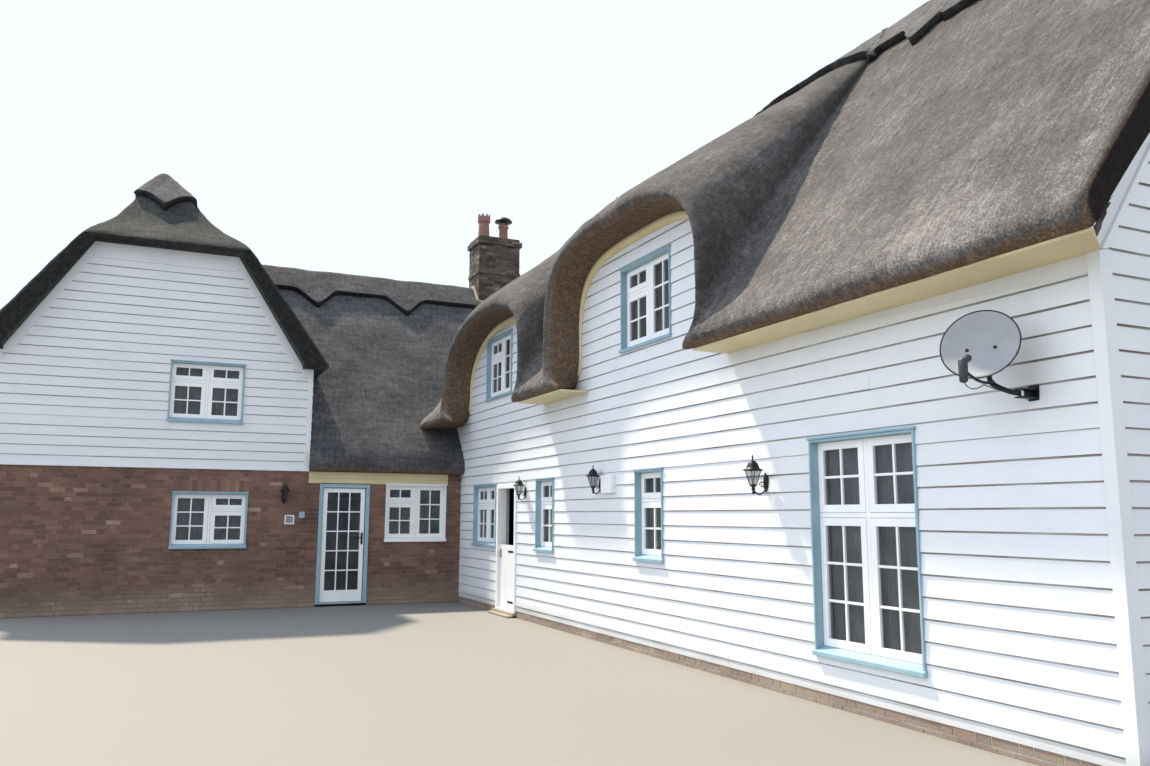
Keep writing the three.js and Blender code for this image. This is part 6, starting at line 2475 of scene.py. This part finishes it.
@dataclass
class Dish:
    """A satellite dish: an oval bowl on a bent pipe from a wall bracket, and a receiver on its arm.

    The bowl rises by depth times the square of the share of its half width and half height.
    """

    centre: tuple[float, float, float] = (0.5, -9.33, 2.76)
    facing: tuple[float, float, float] = (-0.925, -0.337, 0.174)
    half_width: float = 0.27
    half_height: float = 0.24
    depth: float = 0.05
    hub: float = 0.06
    foot: tuple[float, float, float] = (0.59, -9.33, 2.5)
    clamp: tuple[float, float, float] = (0.665, -9.475, 2.43)
    receiver: tuple[float, float, float] = (0.184, -9.445, 2.565)
    pipe: float = 0.018
    arm: float = 0.0105
    clip: tuple[float, float, float] = (0.42, -9.395, 2.482)
    lead: float = 0.0035

    def build(self) -> None:
        """Builds the bowl, its pipe and bracket, and the receiver."""
        centre, foot = np.array(self.centre), np.array(self.foot)
        forward = np.array(self.facing) / np.linalg.norm(self.facing)
        level = np.cross([0, 0, 1.0], forward)
        level /= np.linalg.norm(level)
        upright = np.cross(forward, level)
        angle = np.arange(56) * 2 * math.pi / 56
        oval = (level[None] * np.cos(angle)[:, None] * self.half_width
                + upright[None] * np.sin(angle)[:, None] * self.half_height)
        share = np.linspace(0.03, 1, 14)
        back = [(r, self.depth * r ** 2 - 0.005) for r in share]
        front = [(r, self.depth * r ** 2) for r in share[::-1]]
        bowl = Blocks()
        bowl.tube(np.stack([centre + oval * r + forward * out for r, out in (*back, *front)]),
                  centre - forward * 0.005, centre)
        bowl.build("dish_bowl", DISH_METAL, stands_for=("satellite_dish",), smooth=True)
        rim = Blocks()
        turn = np.arange(57) % 56
        rim.rod(centre + oval[turn] * 1.004 + forward * (self.depth - 0.002), 0.0048, 6)
        rim.build("dish_rim", IRON, smooth=True)
        iron = Blocks()
        for right in (-0.1, 0.09):
            spot = centre + level * right - upright * 0.02 + forward * 0.005
            iron.rod([spot, spot + forward * 0.007, spot + forward * 0.012], [0.012, 0.012, 0.007], 8)
        hub = centre - forward * self.hub
        iron.rod([centre - forward * 0.004, centre - forward * 0.03, hub - forward * 0.012], 0.028, 12)
        iron.rod(bent([hub, hub * [1, 1, 0] + foot * [0, 0, 1.0], foot], 12), self.pipe, 10)
        iron.rod(bent([foot, (0.6, -9.44, 2.43), self.clamp], 14), self.pipe, 10)
        iron.rod(bent([foot + [0, 0, 0.02], (0.4, -9.38, 2.47), self.receiver], 16), self.arm, 8)
        iron.build("dish_pipe", IRON, smooth=True)
        plate = Blocks(COURT)
        plate.bar(-9.52, -9.43, 0.0, 0.012, 2.37, 2.49)
        for z in (2.398, 2.452):
            plate.bar(-9.508, -9.442, 0.012, 0.155, z, z + 0.01)
        plate.bar(-9.479, -9.471, 0.012, 0.1, 2.408, 2.452)
        plate.build("dish_wall_bracket", IRON, bevel=0.002)
        self.hang(centre)

    def hang(self, centre: Array) -> None:
        """Builds the receiver with its horn towards the bowl, and the lead clipped under the arm."""
        end = np.array(self.receiver)
        unit = Blocks()
        unit.rod([end + [0, 0, z] for z in (-0.09, -0.08, 0.0, 0.055, 0.07)],
                 [0.018, 0.027, 0.03, 0.03, 0.024], 16)
        throat = end + [0, 0, 0.045]
        aim = (centre - throat) / np.linalg.norm(centre - throat)
        unit.rod([throat, throat + aim * 0.05, throat + aim * 0.07, throat + aim * 0.095],
                 [0.019, 0.02, 0.026, 0.026], 16)
        unit.build("dish_receiver", RECEIVER_PLASTIC, smooth=True)
        lead = Blocks()
        lead.rod(bent([end + [0.0, 0, -0.085], end + [0.09, 0.03, -0.16], self.clip], 16), self.lead, 6)
        lead.rod(bent([self.clip, (0.55, -9.42, 2.44), (0.7, -9.475, 2.408)], 12), self.lead, 6)
        lead.build("dish_lead", IRON, smooth=True)


FINIAL_PROFILE = (
    (0.03, 7.86), (0.03, 7.97), (0.042, 7.975), (0.042, 7.985), (0.014, 7.995), (0.012, 8.05),
    (0.03, 8.07), (0.036, 8.095), (0.03, 8.12), (0.01, 8.14), (0.008, 8.17), (0.001, 8.2))


@dataclass
class SmallThings:
    """Small fixtures on the walls, and the iron finial on the long ridge."""

    vent: tuple[float, float, float, float] = (-2.43, -2.27, 1.44, 1.6)
    vent_bar: float = 0.018
    louvres: int = 5
    louvre_step: float = 0.024
    finial_y: float = 2.6

    def build(self) -> None:
        """Builds them."""
        box = Blocks(COURT)
        box.bar(-3.26, -2.96, 0.0, 0.075, 1.9, 2.11)
        box.bar(-3.265, -2.955, 0.0, 0.081, 2.09, 2.118)
        box.build("meter_box", WHITE_TRIM, bevel=0.004)
        vent, louvres, plate = (Blocks(BACK_FRONT) for _ in range(3))
        vent.frame(self.vent, self.vent_bar, 0.0, 0.016)
        vent.build("vent_frame", WHITE_TRIM, bevel=0.002)
        u0, u1 = self.vent[0] + self.vent_bar, self.vent[1] - self.vent_bar
        for i in range(self.louvres):
            z = self.vent[2] + 0.022 + i * self.louvre_step
            louvres.bar(u0, u1, 0.0, 0.011, z, z + 0.017)
        louvres.build("vent_louvres", DISH_METAL, bevel=0.001)
        plate.bar(-2.19, -2.09, 0.0, 0.012, 1.55, 1.66)
        plate.build("small_blue_plate", PALE_BLUE, bevel=0.002)
        finial = Blocks()
        finial.lathe(FINIAL_PROFILE, (WING_RIDGE_X, self.finial_y, 0.0), 14)
        finial.build("ridge_finial", IRON, smooth=True)


LANTERNS = (
    Lantern("near_wall_lantern", "near_lantern", COURT, -6.45, 1.98, 0.16),
    Lantern("middle_wall_lantern", "middle_lantern", COURT, -2.83, 2.06),
    Lantern("door_wall_lantern", "door_lantern", COURT, -0.13, 2.015),
    Lantern("cross_wing_wall_lantern", "cross_wing_lantern", BACK_FRONT, -2.46, 1.96),
)


# Ridge caps


@dataclass
class RidgeCap:
    """A raised saddle of sedge over a ridge, with pointed drops along both lower edges.

    The edge hangs depth metres down the slope, and point metres further at each V, whose half
    width is half. Between the Vs the edge is level. The saddle stands lift metres out from the
    roof and ends in a cut face that goes bury metres into it.
    """

    depth: float = 0.65
    point: float = 0.5
    every: float = 1.93
    half: float = 0.42
    lift: float = 0.1
    bury: float = 0.03
    rows: int = 22

    def edge(self, along: Array, first: float) -> Array:
        """How far the edge hangs at each place, with straight-sided Vs from first on."""
        nearest = np.abs((along - first + self.every / 2) % self.every - self.every / 2)
        return self.depth + self.point * np.clip(1 - nearest / self.half, 0, 1)

    def sheet(self, ridge: Array, foot: Array, reach: Array) -> Array:
        """Lays a sheet from a ridge line down a slope, its last row close to the one before.

        Args:
            ridge: (s, 3) points of the ridge.
            foot: (s, 3) points further down each slope line.
            reach: (s,) metres down each line.

        Returns:
            (s, rows + 2, 3) points.
        """
        way = (foot - ridge) / np.linalg.norm(foot - ridge, axis=1, keepdims=True)
        metres = reach[:, None] * np.linspace(0, 1, self.rows + 1)[None]
        metres = np.concatenate([metres, metres[:, -1:] + 0.005], axis=1)
        return ridge[:, None] + way[:, None] * metres[..., None]

    def apron(self, first: Array, second: Array, point: float, slope: float, inward: float) -> Array:
        """The saddle's front on a half hip, between the lines of its two sides down the arrises.

        Rows run straight across from one arris to the other, and the middle hangs point metres
        further as a V, down a hip that rises slope metres for each metre inward along Y.
        """
        share = np.linspace(0, 1, 29)[:, None, None]
        points = first[None] * (1 - share) + second[None] * share
        middle = np.clip(1 - np.abs(share[..., 0] - 0.5) / 0.4, 0, 1) ** 1.6
        down = np.linspace(0, 1, len(first))[None] * middle * point
        points[..., 2] -= down
        points[..., 1] -= inward * down / slope
        return points

    def build(self, name: str, grids: list[Array], directions: list[tuple], seed: int) -> None:
        """Builds the saddle from (s, m, 3) sheets that lie on the roof, rows down the slope."""
        sheets = []
        for points, way in zip(grids, directions):
            sheet = plain_grid(points)
            sheet.give[:, -1] = 0.0
            # The last two rows are the saddle's cut edge; their cut values paint it dark, as painted shade
            # under the saddle
            sheet.cut[:, -2:] = (1.2, 2.0)
            sheets.append(sheet.facing(way))
        mesh = thatch_mesh(name, sheets, 8, seed, (0.0, 0.006, 0.004))
        places, normals, give = skin_arrays(mesh)
        lift = self.lift * give - self.bury * (1 - give)
        set_places(mesh, places + normals * lift[:, None])
        piece = finish_piece(name, mesh, CAP_REED, smooth=True)
        mesh.set_sharp_from_angle(angle=math.radians(38))
        thick = piece.modifiers.new("saddle thickness", "SOLIDIFY")
        thick.thickness = self.bury
        thick.offset = -1


def wing_cap(roof: RightWingRoof) -> None:
    """Builds the long ridge's saddle; its Vs are shorter over the dormers."""
    cap = RidgeCap(depth=0.6, every=1.3, half=0.4)
    first, hip_end, hip_reach = -6.29, -6.6, 0.88
    table = roof.stations()
    sheets = []
    for side in (-1, 1):
        control = roof.control(table, side)
        ridge, top = control[:, 4], control[:, 3]
        over = np.clip((top[:, 2] - roof.eave_top) / 1.2, 0, 1)
        reach = cap.edge(ridge[:, 1], first)
        reach = cap.depth + (reach - cap.depth) * (1 - 0.6 * over)
        reach = np.where(ridge[:, 1] < hip_end, np.maximum(reach, hip_reach), reach)
        sheets.append(roof.shifted(cap.sheet(ridge, top, reach)))
    apron = cap.apron(sheets[0][0], sheets[1][0], 0.4, roof.hip.slope, 1)
    cap.build("right_wing_ridge_cap", [*sheets, apron], [(-1, 0, 1), (1, 0, 1), (0, -1, 1)], 51)


def cross_cap(roof: CrossWingRoof) -> None:
    """Builds the cross wing's saddle, with an apron over each hip."""
    cap = RidgeCap(depth=0.78)
    plain, first = 1.0, 2.85
    along = np.linspace(roof.front, roof.rear, 140)
    sheets = []
    for side in (-1, 1):
        control = np.stack([in_plane(roof.ridge_x, roof.section.control(), side, y) for y in along])
        ends = (along < roof.front + plain) | (along > roof.rear - plain)
        reach = np.where(ends, cap.depth, cap.edge(along, roof.front + first))
        sheets.append(roof.shifted(cap.sheet(control[:, 4], control[:, 3], reach)))
    front = cap.apron(sheets[0][0], sheets[1][0], 0.3, roof.hip.slope, 1)
    rear = cap.apron(sheets[0][-1], sheets[1][-1], 0.3, roof.hip.slope, -1)
    cap.build("cross_wing_ridge_cap", [*sheets, front, rear],
              [(-1, 0, 1), (1, 0, 1), (0, -1, 1), (0, 1, 1)], 61)


def range_cap(roof: BackRangeRoof) -> None:
    """Builds the low ridge's saddle, closed over the full hip at its right end."""
    cap = RidgeCap(depth=0.7, point=0.55)
    start, first, fan_x, plain = -3.9, 0.3, 0.9, 0.5
    out, top = roof.section.control()[3]
    x = np.linspace(start, roof.hip_x, 150)
    whole = np.ones_like(x)
    ridge = np.stack([x, roof.ridge_y * whole, roof.section.ridge * whole], axis=1)
    sheets = []
    for side in (-1, 1):
        foot = np.stack([x, (roof.ridge_y + side * out) * whole, top * whole], axis=1)
        reach = np.where(x > roof.hip_x - plain, cap.depth, cap.edge(x, first))
        sheet = cap.sheet(ridge, foot, reach)
        down = np.abs(sheet[..., 1] - roof.ridge_y)
        sheet[..., 0] += down * np.clip((x - fan_x) / (roof.hip_x - fan_x), 0, 1)[:, None]
        sheets.append(sheet)
    end = cap.apron(sheets[0][-1], sheets[1][-1], 0.0, 1.0, 0)
    cap.build("back_range_ridge_cap", [*sheets, end], [(0, -1, 1), (0, 1, 1), (1, 0, 1)], 71)


# Studio

EYE = (-4.6, -13.8, 1.6)
LOOK_DEGREES = (24.56, 8.238, 0.229)
LENS_MM = 28.81
SENSOR_MM = 36.0
SKY = ("#e6f0ff", 1.2)
LAMPS = (
    ("sun", 7.0, 3, "#fff2dc", (-0.203, 0.516, 0.833)),
    ("open_side_glow", 1.0, 70, "#e3edff", (-0.9, 0.12, 0.41)))
LAMP_DISTANCE = 30


def placed(holder: bpy.types.Object, columns: tuple, place: Array) -> None:
    """Stands a camera or lamp at a place, its own right, up and back given as columns."""
    matrix = np.eye(4)
    matrix[:3, :3] = np.stack(columns, axis=1)
    matrix[:3, 3] = place
    holder.matrix_world = matrix.T.tolist()


def set_camera() -> None:
    """Puts the camera where the photograph was taken from: its heading, rise and tilt."""
    camera = bpy.data.cameras.new("view")
    camera.lens = LENS_MM
    camera.sensor_width = SENSOR_MM
    camera.sensor_fit = "HORIZONTAL"
    holder = bpy.data.objects.new("view", camera)
    bpy.context.scene.collection.objects.link(holder)
    yaw, pitch, roll = (math.radians(angle) for angle in LOOK_DEGREES)
    forward = np.array([math.sin(yaw) * math.cos(pitch), math.cos(yaw) * math.cos(pitch),
                        math.sin(pitch)])
    level = np.array([math.cos(yaw), -math.sin(yaw), 0])
    upright = np.cross(level, forward)
    right = level * math.cos(roll) + upright * math.sin(roll)
    up = upright * math.cos(roll) - level * math.sin(roll)
    placed(holder, (right, up, -forward), EYE)
    bpy.context.scene.camera = holder


def set_light() -> None:
    """A white sky, a sun behind the low range, and a broad glow from the court's open side."""
    bpy.context.scene.view_settings.view_transform = "Standard"
    world = bpy.data.worlds.new("studio")
    bpy.context.scene.world = world
    world.use_nodes = True
    background = world.node_tree.nodes["Background"]
    background.inputs["Color"].default_value = srgb(SKY[0])
    background.inputs["Strength"].default_value = SKY[1]
    for name, energy, angle, colour, towards in LAMPS:
        lamp = bpy.data.lights.new(name, "SUN")
        lamp.energy = energy
        lamp.angle = math.radians(angle)
        lamp.color = srgb(colour)[:3]
        holder = bpy.data.objects.new(name, lamp)
        bpy.context.scene.collection.objects.link(holder)
        side = np.cross([0, 0, 1.0], towards)
        side /= np.linalg.norm(side)
        placed(holder, (side, np.cross(towards, side), towards), np.array(towards) * LAMP_DISTANCE)


def set_floor() -> None:
    """A plain pale floor."""
    reach, sunk = 60.0, -0.002
    corners = np.array([(-reach, -reach, sunk), (reach, -reach, sunk), (reach, reach, sunk),
                        (-reach, reach, sunk)])
    mesh = build_mesh("floor", corners, [np.array([[0, 1, 2, 3]])])
    floor = bpy.data.objects.new("floor", mesh)
    bpy.context.scene.collection.objects.link(floor)
    material, _, shader = new_material("pale_studio_floor", Roughness=0.8)
    shader.inputs["Base Color"].default_value = srgb("#807e7a")
    mesh.materials.append(material)


NODE_FINISHES: dict[str, object] = {
    "white_boards": WHITE_BOARD_PAINT, "brickwork": LIME_MORTAR, "thatch": WING_REED,
    "cream_trim": CREAM, "window_joinery": WHITE_TRIM, "floor_timber": FLOOR_BOARD,
    "floor_stone": FLAGSTONE, "sooty_brick": SOOT_MORTAR, "terracotta": CLAY, "black_iron": IRON,
    "grey_metal": DISH_METAL,
}


def dress_nodes() -> None:
    """Gives each CAD node the finish of its slot in the record."""
    for part in frame["record"]["subparts"]:
        mesh = frame["nodes"][part["node"]].data
        mesh.materials.clear()
        mesh.materials.append(PALETTE.get(NODE_FINISHES[part["material_slot"]]))


def main() -> None:
    """Builds the cottage piece by piece."""
    set_camera()
    set_light()
    set_floor()
    dress_nodes()
    wing, cross, low = RightWingRoof(), CrossWingRoof(), BackRangeRoof()
    for roof in (wing, cross, low):
        roof.build()
    wing_cap(wing)
    cross_cap(cross)
    range_cap(low)
    for boards in boardings(wing):
        boards.build()
    for bricks in brickworks():
        bricks.build()
    Trims().build(wing)
    for piece in (*WINDOWS, *LANTERNS, StableDoor(), GardenDoor(), Chimney(), Dish(), SmallThings()):
        piece.build()
    for wall, name in ((COURT, "court_dormer_fillets"), (GARDEN, "garden_dormer_fillets")):
        DormerInfill(wall, name).build(wing)


if __name__ == "__main__":
    main()
